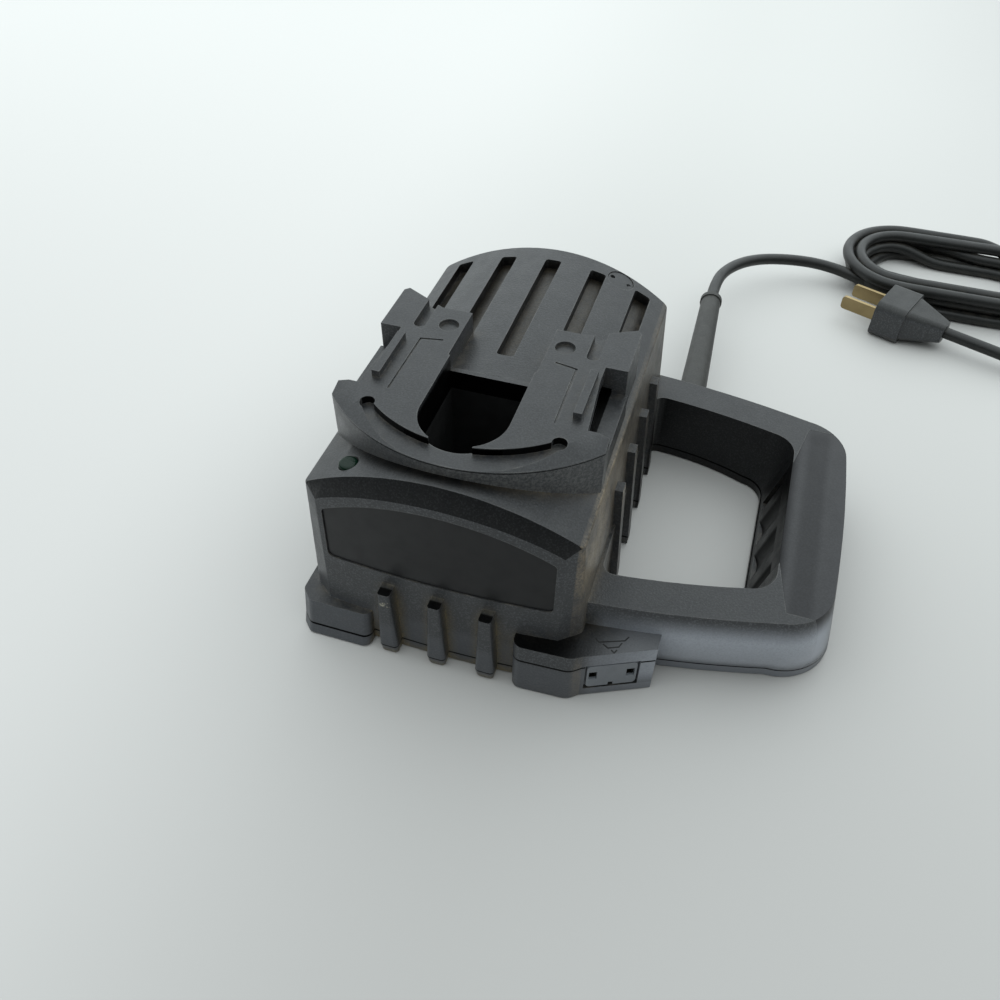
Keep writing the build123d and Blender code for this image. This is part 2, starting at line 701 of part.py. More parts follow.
lower_housing.part.label = "lower_housing"
export_step(lower_housing.part, "parts/lower_housing.step")

# ======================================================================
# handle_grip: soft cover of the loop's outer bar, scalloped for four fingers
# ======================================================================
GRIP_SLOPE = math.degrees(math.atan2(GAP_SIDE_TOP - GAP_SIDE_BASE, HANDLE_TOP - SEAM))
with BuildPart() as handle_grip:
    add((handle_outer & grip_zone) - handle_core)
    for i in range(4):
        finger_y = HANDLE_MID + (i - 1.5) * SCALLOP_PITCH
        finger_plane = Plane(origin=at(GAP_SIDE_BASE - SCALLOP_R + SCALLOP_DEEP, finger_y, SEAM),
                             x_dir=(math.cos(math.radians(GRIP_SLOPE)), 0, -math.sin(math.radians(GRIP_SLOPE))),
                             z_dir=(math.sin(math.radians(GRIP_SLOPE)), 0, math.cos(math.radians(GRIP_SLOPE))))
        with BuildSketch(finger_plane):
            Circle(SCALLOP_R)
        extrude(amount=23, mode=Mode.SUBTRACT)
handle_grip.part.label = "handle_grip"
export_step(handle_grip.part, "parts/handle_grip.step")

# ======================================================================
# label_plate: a bare plate sunk in the front
# ======================================================================
with BuildPart() as label_plate:
    add(label_zone & (tower_block(SEAM, LABEL_DEPTH - LABEL_THICK, 0) - tower_block(SEAM, LABEL_DEPTH, 0)))
label_plate.part.label = "label_plate"
export_step(label_plate.part, "parts/label_plate.step")

# ======================================================================
# dock_plate
# ======================================================================
SEAT_Z = 58.0           # low enough for the plate's skirt to reach the roof everywhere
land_axis_y = LAND_APEX + LAND_R
LAND_CORNER = 27.5
land_corner_y = land_axis_y - math.sqrt(LAND_R ** 2 - LAND_CORNER ** 2)
lip_axis_y = LIP_APEX + LIP_R
lip_corner_y = lip_axis_y - math.sqrt(LIP_R ** 2 - WING_HALF ** 2)
wing_back = lip_corner_y + WING_STRAIGHT



def wing_outline(z):
    """The wing in front of the land: arc at the front, straight sides and back."""
    with BuildSketch(level(z)) as wing:
        with BuildLine():
            ThreePointArc((-WING_HALF, lip_corner_y), (0, LIP_APEX), (WING_HALF, lip_corner_y))
            Polyline((WING_HALF, lip_corner_y), (WING_HALF, wing_back), (-WING_HALF, wing_back),
                     (-WING_HALF, lip_corner_y))
        make_face()
    return wing.sketch


with BuildPart() as wing_ramp:
    extrude(wing_outline(LIP_TOP), amount=LAND_TOP - LIP_TOP)
    with Locations(at(0, lip_axis_y, (LIP_TOP + LAND_TOP) / 2)):
        Cone(LIP_R, LIP_R - RAMP_WIDE, LAND_TOP - LIP_TOP, mode=Mode.INTERSECT)
    with BuildSketch(level(LIP_TOP)):
        with Locations((0, CRESCENT_APEX + CRESCENT_R)):
            Circle(CRESCENT_R)
        with Locations((0, land_axis_y)):
            Circle(LAND_R, mode=Mode.SUBTRACT)
        with Locations((0, 0)):
            Rectangle(2 * WING_HALF, 2 * KEYHOLE_Y, mode=Mode.INTERSECT)
    extrude(amount=LAND_TOP - LIP_TOP, mode=Mode.SUBTRACT)

with BuildPart() as dock_plate:
    extrude(wing_outline(SEAT_Z), amount=LIP_TOP - SEAT_Z)
    add(wing_ramp.part)
    with BuildSketch(level(SEAT_Z)):
        with Locations((0, (wing_back + LEDGE_BACK) / 2)):
            Rectangle(2 * LEDGE_HALF, LEDGE_BACK - wing_back + 0.02)
    extrude(amount=LEDGE_TOP - SEAT_Z)
    with BuildSketch(level(SEAT_Z)) as land:
        with BuildLine():
            ThreePointArc((-LAND_CORNER, land_corner_y), (0, LAND_APEX), (LAND_CORNER, land_corner_y))
            Polyline((LAND_CORNER, land_corner_y), (LAND_FRONT_HALF, land_corner_y + 5),
                     (LAND_WAIST_HALF, 50), (LAND_WAIST_HALF, BLOCK_FRONT), (BLOCK_HALF, BLOCK_FRONT),
                     (BLOCK_HALF, BLOCK_BACK - 1.5), (BLOCK_HALF - 1.5, BLOCK_BACK), (25, LAND_BACK),
                     (-25, LAND_BACK), (1.5 - BLOCK_HALF, BLOCK_BACK), (-BLOCK_HALF, BLOCK_BACK - 1.5),
                     (-BLOCK_HALF, BLOCK_FRONT), (-LAND_WAIST_HALF, BLOCK_FRONT),
                     (-LAND_WAIST_HALF, 50), (-LAND_FRONT_HALF, land_corner_y + 5),
                     (-LAND_CORNER, land_corner_y))
        make_face()
    extrude(amount=LAND_TOP - SEAT_Z)
    with BuildSketch(level(LIP_TOP)):
        with Locations((-KEYHOLE_X, KEYHOLE_Y), (KEYHOLE_X, KEYHOLE_Y)):
            Circle(KEYHOLE_R)
    extrude(amount=5, mode=Mode.SUBTRACT)
    with BuildSketch(level(LIP_TOP)):
        with Locations((0, WELL_FRONT - WELL_HALF)):
            Rectangle(2 * LAND_GAP_HALF, 8)
    extrude(amount=5, mode=Mode.SUBTRACT)
    with BuildSketch(level(SEAT_Z)):
        with Locations((0, (WELL_BACK + 90) / 2)):
            Rectangle(2 * CHANNEL_HALF, 90 - WELL_BACK)
    extrude(amount=30, mode=Mode.SUBTRACT)
    for side in (-1, 1):
        with BuildSketch(level(LAND_TOP)):
            with Locations((side * (BAR_IN + BAR_OUT) / 2, (BAR_FRONT + BAR_BACK) / 2)):
                Rectangle(BAR_OUT - BAR_IN, BAR_BACK - BAR_FRONT)
        extrude(amount=BAR_HIGH)
        with BuildSketch(level(LAND_TOP - POCKET_DEEP)):
            with Locations((side * POCKET_X, POCKET_FRONT + 12)):
                SlotOverall(24, 2 * POCKET_HALF, rotation=90)
        extrude(amount=5, mode=Mode.SUBTRACT)
        with BuildSketch(level(LAND_TOP - DENT_DEEP)):
            with Locations((side * DENT_X, DENT_Y)):
                Circle(DENT_R)
        extrude(amount=5, mode=Mode.SUBTRACT)
        with BuildSketch(level(LEDGE_TOP + 1)):
            with Locations((side * (LAND_WAIST_HALF + 2), (wing_back + LEDGE_BACK) / 2)):
                Rectangle(7, LEDGE_BACK - wing_back)
        extrude(amount=3.6, mode=Mode.SUBTRACT)
        with BuildSketch(level(LAND_TOP - LINE_DEEP)):
            with BuildLine():
                frame_line = Polyline((side * 25.9, 27), (side * 25.6, 53.3), (side * 18.5, 54.6))
            trace(frame_line, line_width=LINE_WIDE)
        extrude(amount=2, mode=Mode.SUBTRACT)
    add(tower_outer, mode=Mode.SUBTRACT)
    extrude(well_outline(SPIGOT_LOW, WELL_WALL), amount=roof_height(0) - SPIGOT_LOW)
    extrude(well_outline(SPIGOT_LOW - 1, 0), amount=30, mode=Mode.SUBTRACT)
dock_plate.part.label = "dock_plate"
export_step(dock_plate.part, "parts/dock_plate.step")

# ======================================================================
# Well: sleeve, terminal block and sprung contacts
# ======================================================================
with BuildPart() as well_sleeve:
    extrude(well_outline(WELL_FLOOR, WELL_WALL), amount=SPIGOT_LOW - WELL_FLOOR)
    extrude(well_outline(WELL_FLOOR, 0), amount=SPIGOT_LOW - WELL_FLOOR, mode=Mode.SUBTRACT)
well_sleeve.part.label = "well_sleeve"
export_step(well_sleeve.part, "parts/well_sleeve.step")

CONTACT_IN = WELL_HALF - CONTACT_INSET
SLOT_FLOOR = BLOCK_LOW + 1.5
CONTACTS = {
    "contact_positive": (at(0, CONTACT_Y, 0), (-1, 0, 0), (0, 1, 0)),
    "contact_negative": (at(0, CONTACT_Y, 0), (1, 0, 0), (0, -1, 0)),
    "contact_sensor": (at(0, WELL_FRONT, 0), (0, -1, 0), (-1, 0, 0)),
}

with BuildPart() as terminal_block:
    extrude(well_outline(BLOCK_LOW, WELL_WALL), amount=WELL_FLOOR - BLOCK_LOW)
    for origin, outward, sideways in CONTACTS.values():
        with BuildSketch(Plane(origin=origin, x_dir=outward, z_dir=sideways)):
            with Locations((CONTACT_IN - CONTACT_GAP + CONTACT_SLOT / 2, (SLOT_FLOOR + WELL_FLOOR + 1) / 2)):
                Rectangle(CONTACT_SLOT, WELL_FLOOR + 1 - SLOT_FLOOR)
        extrude(amount=CONTACT_WIDE / 2 + 0.2, both=True, mode=Mode.SUBTRACT)
terminal_block.part.label = "terminal_block"
export_step(terminal_block.part, "parts/terminal_block.step")

for name, (origin, outward, sideways) in CONTACTS.items():
    with BuildPart() as contact:
        with BuildSketch(Plane(origin=origin, x_dir=outward, z_dir=sideways)):
            with BuildLine():
                foot = SLOT_FLOOR + 0.2
                Polyline((CONTACT_IN, foot), (CONTACT_IN + CONTACT_THICK, foot),
                         (CONTACT_IN + CONTACT_THICK, 24), (CONTACT_IN - 0.4, CONTACT_TOP - 7),
                         (CONTACT_IN + 1, CONTACT_TOP), (CONTACT_IN + 1 - CONTACT_THICK, CONTACT_TOP),
                         (CONTACT_IN - 0.4 - CONTACT_THICK, CONTACT_TOP - 7), (CONTACT_IN, 24), close=True)
            make_face()
        extrude(amount=CONTACT_WIDE / 2, both=True)
    contact.part.label = name
    export_step(contact.part, f"parts/{name}.step")

with BuildPart() as terminal_pins:
    with BuildSketch(level(BOARD_Z + BOARD_THICK)):
        with Locations((-CONTACT_IN, CONTACT_Y), (CONTACT_IN, CONTACT_Y), (0, WELL_FRONT - CONTACT_IN)):
            Circle(0.8)
    extrude(amount=BLOCK_LOW - BOARD_Z - BOARD_THICK)
terminal_pins.part.label = "terminal_pins"
export_step(terminal_pins.part, "parts/terminal_pins.step")

# ======================================================================
# Roof: spanner plug and charge light
# ======================================================================
with BuildPart() as roof_plug:
    seat = roof_height(PLUG_X) - PLUG_DEEP - 1
    with BuildSketch(level(seat)):
        with Locations((PLUG_X, PLUG_Y)):
            Circle(PLUG_R)
    extrude(amount=20)
    add(tower_block(SEAM, 0, 0.3), mode=Mode.INTERSECT)
    with BuildSketch(level(seat + 1.6)):
        with Locations((PLUG_X - 3.2, PLUG_Y + 0.5), (PLUG_X + 3.2, PLUG_Y - 0.5)):
            Circle(0.9)
    extrude(amount=10, mode=Mode.SUBTRACT)
roof_plug.part.label = "roof_plug"
export_step(roof_plug.part, "parts/roof_plug.step")

with BuildPart() as led_lens:
    with BuildSketch(level(LENS_LOW)):
        with Locations((LED_X, LED_Y)):
            Circle(LED_R + LENS_RIM)
    extrude(amount=1.4)
    with BuildSketch(level(LENS_LOW)):
        with Locations((LED_X, LED_Y)):
            Circle(LED_R)
    extrude(amount=LED_TOP - LENS_LOW)
    fillet(led_lens.faces().sort_by(Axis.Z)[-1].edges(), 0.9)
led_lens.part.label = "led_lens"
export_step(led_lens.part, "parts/led_lens.step")

with BuildPart() as led_body:
    with BuildSketch(level(LENS_LOW - 9)):
        with Locations((LED_X, LED_Y)):
            Circle(2.5)
    extrude(amount=8.7)
    fillet(led_body.faces().sort_by(Axis.Z)[-1].edges(), 2.2)
    with BuildSketch(level(BOARD_Z + BOARD_THICK)):
        with Locations((LED_X - 1.27, LED_Y), (LED_X + 1.27, LED_Y)):
            Circle(0.35)
    extrude(amount=LENS_LOW - 9 - BOARD_Z - BOARD_THICK + 0.5)
led_body.part.label = "led_body"
export_step(led_body.part, "parts/led_body.step")

# ======================================================================
# Output socket in the slanted face of the right pod
# ======================================================================
SOCKET_PROUD = -0.1
SLEEVE_AT = [(SOCKET_MID - SOCKET_PITCH / 2, SOCKET_MID_Z + 0.3), (SOCKET_MID + SOCKET_PITCH / 2, SOCKET_MID_Z + 0.3)]
with BuildPart() as output_socket:
    with BuildSketch(socket_plane.offset(-SOCKET_RIM)):
        with Locations((SOCKET_MID, SOCKET_MID_Z)):
            Rectangle(SOCKET_WIDE, SOCKET_TALL)
    extrude(amount=SOCKET_RIM - WALL)
    with BuildSketch(socket_plane.offset(SOCKET_PROUD)):
        with Locations((SOCKET_MID, SOCKET_MID_Z)):
            RectangleRounded(SOCKET_WIDE - 2 * SOCKET_GROOVE, SOCKET_TALL - 2 * SOCKET_GROOVE, 1.5)
    extrude(amount=-SOCKET_PROUD - SOCKET_RIM)
    with BuildSketch(socket_plane.offset(-WALL)):
        with Locations((SOCKET_MID, SOCKET_MID_Z)):
            Rectangle(SOCKET_WIDE - 1.4, SOCKET_TALL - 4)
    extrude(amount=WALL - SOCKET_DEEP)
    with BuildSketch(socket_plane.offset(SOCKET_PROUD)):
        with Locations(*SLEEVE_AT):
            Rectangle(SLEEVE_OUT, SLEEVE_OUT + SLEEVE_TALLER)
    extrude(amount=-SOCKET_DEEP, mode=Mode.SUBTRACT)
    with BuildSketch(socket_plane.offset(SOCKET_PROUD)):
        with Locations((SOCKET_MID, SOCKET_LOW + SOCKET_GROOVE)):
            Rectangle(1.6, 2.8)
    extrude(amount=-SOCKET_PROUD - SOCKET_RIM, mode=Mode.SUBTRACT)
output_socket.part.label = "output_socket"
export_step(output_socket.part, "parts/output_socket.step")

with BuildPart() as socket_sleeves:
    with BuildSketch(socket_plane.offset(-1.2)):
        with Locations(*SLEEVE_AT):
            Rectangle(SLEEVE_OUT, SLEEVE_OUT + SLEEVE_TALLER)
            Rectangle(SLEEVE_BORE, SLEEVE_BORE + SLEEVE_TALLER, mode=Mode.SUBTRACT)
    extrude(amount=1.2 - SOCKET_DEEP)
socket_sleeves.part.label = "socket_sleeves"
export_step(socket_sleeves.part, "parts/socket_sleeves.step")

# ======================================================================
# Transformer
# ======================================================================
CORE_TOP = CORE_LOW + CORE_HIGH
WINDOW_LOW = CORE_LOW + CORE_LEG
WINDOW_TOP = CORE_TOP - CORE_LEG
BOBBIN_X = CORE_LEG + 0.2 + BOBBIN_WALL
BOBBIN_Y = CORE_STACK / 2 + 0.2 + BOBBIN_WALL


def spool(bottom, top, half_x, half_y, bore_x, bore_y, corner):
    """A rectangular ring round the core's middle leg."""
    with BuildPart() as ring:
        with BuildSketch(level(bottom)):
            with Locations((0, CORE_Y)):
                RectangleRounded(2 * half_x, 2 * half_y, corner)
                Rectangle(2 * bore_x, 2 * bore_y, mode=Mode.SUBTRACT)
        extrude(amount=top - bottom)
    return ring.part


with BuildPart() as transformer_core:
    with BuildSketch(across(CORE_Y + CORE_STACK / 2)):
        with Locations((0, (CORE_LOW + CORE_TOP) / 2)):
            Rectangle(CORE_WIDE, CORE_HIGH)
        with Locations((-CORE_LEG - CORE_WINDOW / 2, (WINDOW_LOW + WINDOW_TOP) / 2),
                       (CORE_LEG + CORE_WINDOW / 2, (WINDOW_LOW + WINDOW_TOP) / 2)):
            Rectangle(CORE_WINDOW, WINDOW_TOP - WINDOW_LOW, mode=Mode.SUBTRACT)
    extrude(amount=CORE_STACK)
transformer_core.part.label = "transformer_core"
export_step(transformer_core.part, "parts/transformer_core.step")

FLANGE_X = CORE_LEG + CORE_WINDOW - 0.3
FLANGE_Y = BOBBIN_Y + WINDING + 0.8
bobbin_levels = [WINDOW_LOW + 0.2, (WINDOW_LOW + WINDOW_TOP - BOBBIN_WALL) / 2, WINDOW_TOP - 0.2 - BOBBIN_WALL]
with BuildPart() as transformer_bobbin:
    add(spool(bobbin_levels[0], bobbin_levels[2] + BOBBIN_WALL, BOBBIN_X, BOBBIN_Y,
              CORE_LEG + 0.2, CORE_STACK / 2 + 0.2, 0.5))
    for z in bobbin_levels:
        add(spool(z, z + BOBBIN_WALL, FLANGE_X, FLANGE_Y, CORE_LEG + 0.2, CORE_STACK / 2 + 0.2, 0.5))
transformer_bobbin.part.label = "transformer_bobbin"
export_step(transformer_bobbin.part, "parts/transformer_bobbin.step")

for name, i in (("primary_winding", 0), ("secondary_winding", 1)):
    with BuildPart() as winding:
        add(spool(bobbin_levels[i] + BOBBIN_WALL, bobbin_levels[i + 1], BOBBIN_X + WINDING,
                  BOBBIN_Y + WINDING, BOBBIN_X, BOBBIN_Y, 4))
    winding.part.label = name
    export_step(winding.part, f"parts/{name}.step")

with BuildPart() as transformer_strap:
    with BuildSketch(across(CORE_Y + CORE_STACK / 2 - 1)):
        with Locations((0, (CORE_LOW + CORE_TOP + STRAP) / 2)):
            Rectangle(CORE_WIDE + 2 * STRAP, CORE_HIGH + STRAP)
        with Locations((0, (CORE_LOW + CORE_TOP) / 2)):
            Rectangle(CORE_WIDE, CORE_HIGH, mode=Mode.SUBTRACT)
        for ear_x, ear_y in EARS:
            with Locations((ear_x, CORE_LOW + EAR_THICK / 2)):
                Rectangle(EAR_REACH, EAR_THICK)
    extrude(amount=CORE_STACK - 2)
    with BuildSketch(level(CORE_LOW)):
        with Locations(*EARS):
            Circle(SCREW_WAY_R)
    extrude(amount=EAR_THICK, mode=Mode.SUBTRACT)
transformer_strap.part.label = "transformer_strap"
export_step(transformer_strap.part, "parts/transformer_strap.step")

# ======================================================================
# Circuit board and what is soldered to it
# ======================================================================
BOARD_TOP = BOARD_Z + BOARD_THICK
with BuildPart() as circuit_board:
    with BuildSketch(level(BOARD_Z)):
        with Locations((0, (BOARD_FRONT + BOARD_BACK) / 2)):
            Rectangle(2 * BOARD_HALF, BOARD_BACK - BOARD_FRONT)
        with Locations(*BOARD_POSTS):
            Circle(BOARD_SCREW_R + 0.2, mode=Mode.SUBTRACT)
        with Locations(*PEDESTALS):
            Circle(PEDESTAL_R + 0.3, mode=Mode.SUBTRACT)
    extrude(amount=BOARD_THICK)
circuit_board.part.label = "circuit_board"
export_step(circuit_board.part, "parts/circuit_board.step")


def lying_part(x, y, turn, radius, length, wire):
    """A round component that lies on its bent leads; one solid."""
    centre = at(x, y, BOARD_TOP + radius + 0.5)
    axis = Vector(math.cos(math.radians(turn)), math.sin(math.radians(turn)), 0)
    with BuildPart() as piece:
        with BuildSketch(Plane(origin=centre - axis * (length / 2), z_dir=axis)):
            Circle(radius)
        extrude(amount=length)
        reach = length / 2 + 1.8
        with BuildSketch(Plane(origin=centre - axis * reach, z_dir=axis)):
            Circle(wire)
        extrude(amount=2 * reach)
        for end in (-1, 1):
            foot = centre + axis * (end * (reach - wire))
            with BuildSketch(Plane(origin=(foot.X, foot.Y, BOARD_TOP))):
                Circle(wire)
            extrude(amount=radius + 0.5)
    return piece.part


def write_group(name, pieces):
    """Separate solids of one kind share a node."""
    group = Compound(label=name, children=pieces)
    export_step(group, f"parts/{name}.step")


write_group("rectifier_diodes", [lying_part(19.5 + 4.6 * i, 39.5, 90, 2.0, 7.5, 0.4) for i in range(4)])
write_group("sense_resistors", [lying_part(20.2, 5 + 5.5 * i, 0, 1.9, 10, 0.4) for i in range(2)])
write_group("line_fuse", [lying_part(-30, 34.0, 90, 2.4, 12, 0.4)])

CAP_X = -25.5
CAP_Y = 17.0
CAP_R = 6.5
CAP_TALL = 25.0
with BuildPart() as filter_capacitor:
    with BuildSketch(level(BOARD_TOP)):
        with Locations((CAP_X, CAP_Y)):
            Circle(CAP_R)
    extrude(amount=CAP_TALL)
    fillet(filter_capacitor.faces().sort_by(Axis.Z)[-1].edges(), 0.8)
filter_capacitor.part.label = "filter_capacitor"
export_step(filter_capacitor.part, "parts/filter_capacitor.step")

CHIP_X = -20.5
CHIP_Y = 36.5
CHIP_LONG = 20.0
CHIP_WIDE = 6.4
CHIP_PINS = 8
with BuildPart() as charge_controller:
    with BuildSketch(level(BOARD_TOP + 0.6)):
        with Locations((CHIP_X, CHIP_Y)):
            Rectangle(CHIP_WIDE, CHIP_LONG)
    extrude(amount=3.2)
    with BuildSketch(level(BOARD_TOP)):
        for i in range(CHIP_PINS):
            pin_y = CHIP_Y + (i - (CHIP_PINS - 1) / 2) * 2.54
            with Locations((CHIP_X - CHIP_WIDE / 2 - 0.3, pin_y), (CHIP_X + CHIP_WIDE / 2 + 0.3, pin_y)):
                Rectangle(0.9, 0.6)
    extrude(amount=2.2)
charge_controller.part.label = "charge_controller"
export_step(charge_controller.part, "parts/charge_controller.step")

SINK_X = 26.0
SINK_Y = 24.0
SINK_WIDE = 14.0
SINK_LONG = 16.0
SINK_TALL = 24.0
SINK_WALL = 1.5
with BuildPart() as heat_sink:
    with BuildSketch(level(BOARD_TOP)):
        with Locations((SINK_X, SINK_Y)):
            Rectangle(SINK_WIDE, SINK_LONG)
        with Locations((SINK_X, SINK_Y - SINK_WALL)):
            Rectangle(SINK_WIDE - 2 * SINK_WALL, SINK_LONG, mode=Mode.SUBTRACT)
    extrude(amount=SINK_TALL)
heat_sink.part.label = "heat_sink"
export_step(heat_sink.part, "parts/heat_sink.step")

with BuildPart() as power_transistor:
    body_y = SINK_Y + SINK_LONG / 2 - SINK_WALL - 2.25
    with BuildSketch(level(BOARD_TOP + 5)):
        with Locations((SINK_X, body_y)):
            Rectangle(10, 4.5)
    extrude(amount=15)
    with BuildSketch(level(BOARD_TOP)):
        with Locations((SINK_X - 2.54, body_y), (SINK_X, body_y), (SINK_X + 2.54, body_y)):
            Rectangle(0.9, 0.6)
    extrude(amount=5)
power_transistor.part.label = "power_transistor"
export_step(power_transistor.part, "parts/power_transistor.step")

with BuildPart() as thermal_cutout:
    with BuildSketch(level(CORE_LOW + 30)):
        with Locations((0, CORE_Y + BOBBIN_Y + WINDING + 1.5)):
            Rectangle(9, 3)
    extrude(amount=5.5)
thermal_cutout.part.label = "thermal_cutout"
export_step(thermal_cutout.part, "parts/thermal_cutout.step")

# ======================================================================
# Screws and feet
# ======================================================================
def screw(x, y, seat, down, head_r, head, shank_r, shank):
    """A screw whose head bears on height seat; down = 1 points it up into a boss."""
    direction = Vector(0, 0, down)
    with BuildPart() as piece:
        with BuildSketch(Plane(origin=at(x, y, seat), z_dir=direction)):
            Circle(shank_r)
        extrude(amount=shank)
        with BuildSketch(Plane(origin=at(x, y, seat), z_dir=-direction)):
            Circle(head_r)
        extrude(amount=head)
        with BuildSketch(Plane(origin=at(x, y, seat - down * head), z_dir=direction)):
            Rectangle(1.2 * head_r, 0.7)
            Rectangle(0.7, 1.2 * head_r)
        extrude(amount=0.5 * head, mode=Mode.SUBTRACT)
    return piece.part


write_group("housing_screws", [screw(x, y, FOOT + COUNTERBORE, 1, SCREW_HEAD_R, SCREW_HEAD, SCREW_R,
                                     BOSS_LOW - FOOT - COUNTERBORE + SCREW_LONG - 1) for x, y in BOSSES])
write_group("transformer_screws", [screw(x, y, CORE_LOW + EAR_THICK, -1, 2.6, 1.8, SCREW_R, 4.5)
                                   for x, y in EARS])
write_group("board_screws", [screw(x, y, BOARD_TOP, -1, 2.0, 1.3, BOARD_SCREW_R - 0.05, 5.5)
                             for x, y in BOARD_POSTS])


def foot(x, y):
    with BuildPart() as pad:
        with BuildSketch(level(0)):
            with Locations((x, y)):
                Circle(FOOT_R)
        extrude(amount=FOOT + FOOT_SUNK)
    return pad.part


write_group("foot_pads", [foot(x, y) for x, y in FEET])


# ======================================================================
# Wires, cord, hank and plug
# ======================================================================
def tube(points, diameter, radii):
    """A round tube along straight runs joined by arcs."""
    path_points = [at(*p) for p in points]
    with BuildPart() as pipe:
        with BuildLine() as path:
            FilletPolyline(*path_points, radius=radii)
        start = path.line @ 0
        with BuildSketch(Plane(origin=start, z_dir=path.line % 0)):
            Circle(diameter / 2)
        sweep(path=path.line)
    return pipe.part


def bend_radii(points):
    """The largest arc that each corner's two runs allow."""
    radii = []
    for a, b, c in zip(points, points[1:], points[2:]):
        first = Vector(*b) - Vector(*a)
        second = Vector(*c) - Vector(*b)
        turn = first.get_angle(second)
        radii.append(0.45 * min(first.length, second.length) / math.tan(math.radians(turn / 2)))
    return radii


def check_tube(name, part, points, radii, diameter):
    """Print the bend radii, and the tube's volume against its section times its length."""
    length = FilletPolyline(*[Vector(*p) for p in points], radius=radii, mode=Mode.PRIVATE).length
    ideal = math.pi * diameter ** 2 / 4 * length
    print(name, "radii", [round(r, 1) for r in radii], "length", round(length, 1),
          "volume ratio", round(part.volume / ideal, 5))


WIRE = 1.8
LEAD_Y = 114.9
mains_leads = []
for x, z in ((57.0, 21.6), (60.0, 18.8)):
    mains_leads.append(tube([(x, 117.2, z), (x, LEAD_Y, z), (30, LEAD_Y, z), (23, 111, z),
                             (BOBBIN_X + WINDING, 111, z)], WIRE, [1.4, 4, 2]))
write_group("mains_leads", mains_leads)

secondary_leads = []
for x in (-4.0, 4.0):
    secondary_leads.append(tube([(x, CORE_Y - BOBBIN_Y - WINDING, 36), (x, 60, 36), (x, 52.6, 26),
                                 (x, 52.6, BOARD_TOP)], WIRE, [4, 4]))
write_group("secondary_leads", secondary_leads)

socket_leads = []
for along_face, z in ((SOCKET_MID - SOCKET_PITCH / 2, SOCKET_MID_Z + 0.3),
                      (SOCKET_MID + SOCKET_PITCH / 2, SOCKET_MID_Z + 0.3)):
    rear = socket_plane.from_local_coords((along_face, z, -SOCKET_DEEP))
    x, y = rear.X + CENTRE_X, rear.Y + CENTRE_Y
    turn = math.radians(SOCKET_TURN)
    out_x, out_y = x - 3.5 * math.sin(turn), y + 3.5 * math.cos(turn)
    socket_leads.append(tube([(x, y, z), (out_x, out_y, z), (42, 13.5 - 0.15 * (x - 46), z + 0.8),
                              (32, 13.5 - 0.15 * (x - 46), z + 3), (32, 13.5 - 0.15 * (x - 46), BOARD_TOP)],
                             1.4, [1.6, 4, 0.9]))
write_group("socket_leads", socket_leads)

relief_axis = Vector(-RELIEF_DRIFT, RELIEF_END - ARM_WALL_Y, 0).normalized()
with BuildPart() as strain_relief:
    with BuildSketch(Plane(origin=at(RELIEF_X, ARM_WALL_Y - 2, RELIEF_Z), z_dir=relief_axis)):
        Circle(RELIEF_R)
    with BuildSketch(Plane(origin=at(TIP_X, RELIEF_END, RELIEF_Z) - relief_axis * COLLAR, z_dir=relief_axis)):
        Circle(RELIEF_TIP_R)
    loft()
    with BuildSketch(Plane(origin=at(TIP_X, RELIEF_END, RELIEF_Z) - relief_axis * COLLAR, z_dir=relief_axis)):
        Circle(RELIEF_TIP_R + 0.5)
    extrude(amount=COLLAR)
    add(handle_outer, mode=Mode.SUBTRACT)
    with BuildSketch(across(117.2)):
        with Locations((RELIEF_X, RELIEF_Z)):
            Circle(NECK_R)
    extrude(amount=-(ARM_WALL_Y + 4 - 117.2))
    with BuildSketch(across(117.2)):
        with Locations((RELIEF_X, RELIEF_Z)):
            Circle(FLANGE_R)
    flange = extrude(amount=-8, mode=Mode.PRIVATE)
    add(flange & handle_inner)
strain_relief.part.label = "strain_relief"
export_step(strain_relief.part, "parts/strain_relief.step")

cord_radii = bend_radii(CORD_ROUTE)
power_cord = tube(CORD_ROUTE, CORD_D, cord_radii)
power_cord.label = "power_cord"
export_step(power_cord, "parts/power_cord.step")
check_tube("power_cord", power_cord, CORD_ROUTE, cord_radii, CORD_D)

tail_radii = bend_radii(TAIL_ROUTE)
plug_cord = tube(TAIL_ROUTE, CORD_D, tail_radii)
plug_cord.label = "plug_cord"
export_step(plug_cord, "parts/plug_cord.step")
check_tube("plug_cord", plug_cord, TAIL_ROUTE, tail_radii, CORD_D)

with BuildPart() as cord_coil:
    outer = COIL_R + COIL_WIDE / 2
    inner = COIL_R - COIL_WIDE / 2
    with BuildSketch(level(0)):
        with Locations((COIL_X, COIL_Y)):
            SlotOverall(COIL_STRAIGHT + 2 * outer, 2 * outer)
            SlotOverall(COIL_STRAIGHT + 2 * inner, 2 * inner, mode=Mode.SUBTRACT)
    extrude(amount=COIL_TALL)
    fillet(cord_coil.faces().filter_by(Axis.Z).edges(), 4)
cord_coil.part.label = "cord_coil"
export_step(cord_coil.part, "parts/cord_coil.step")

plug_axis = (Vector(*PLUG_REAR) - Vector(*TAIL_ROUTE[1]))
plug_axis = Vector(plug_axis.X, plug_axis.Y, 0).normalized()
plug_z = PLUG_TALL / 2
plug_side = Vector(-plug_axis.Y, plug_axis.X, 0)


def plug_plane(distance):
    """Upright plane square to the plug's axis, at a distance from its rear."""
    start = at(PLUG_REAR[0], PLUG_REAR[1], plug_z)
    return Plane(origin=start + plug_axis * distance, x_dir=plug_side, z_dir=plug_axis)


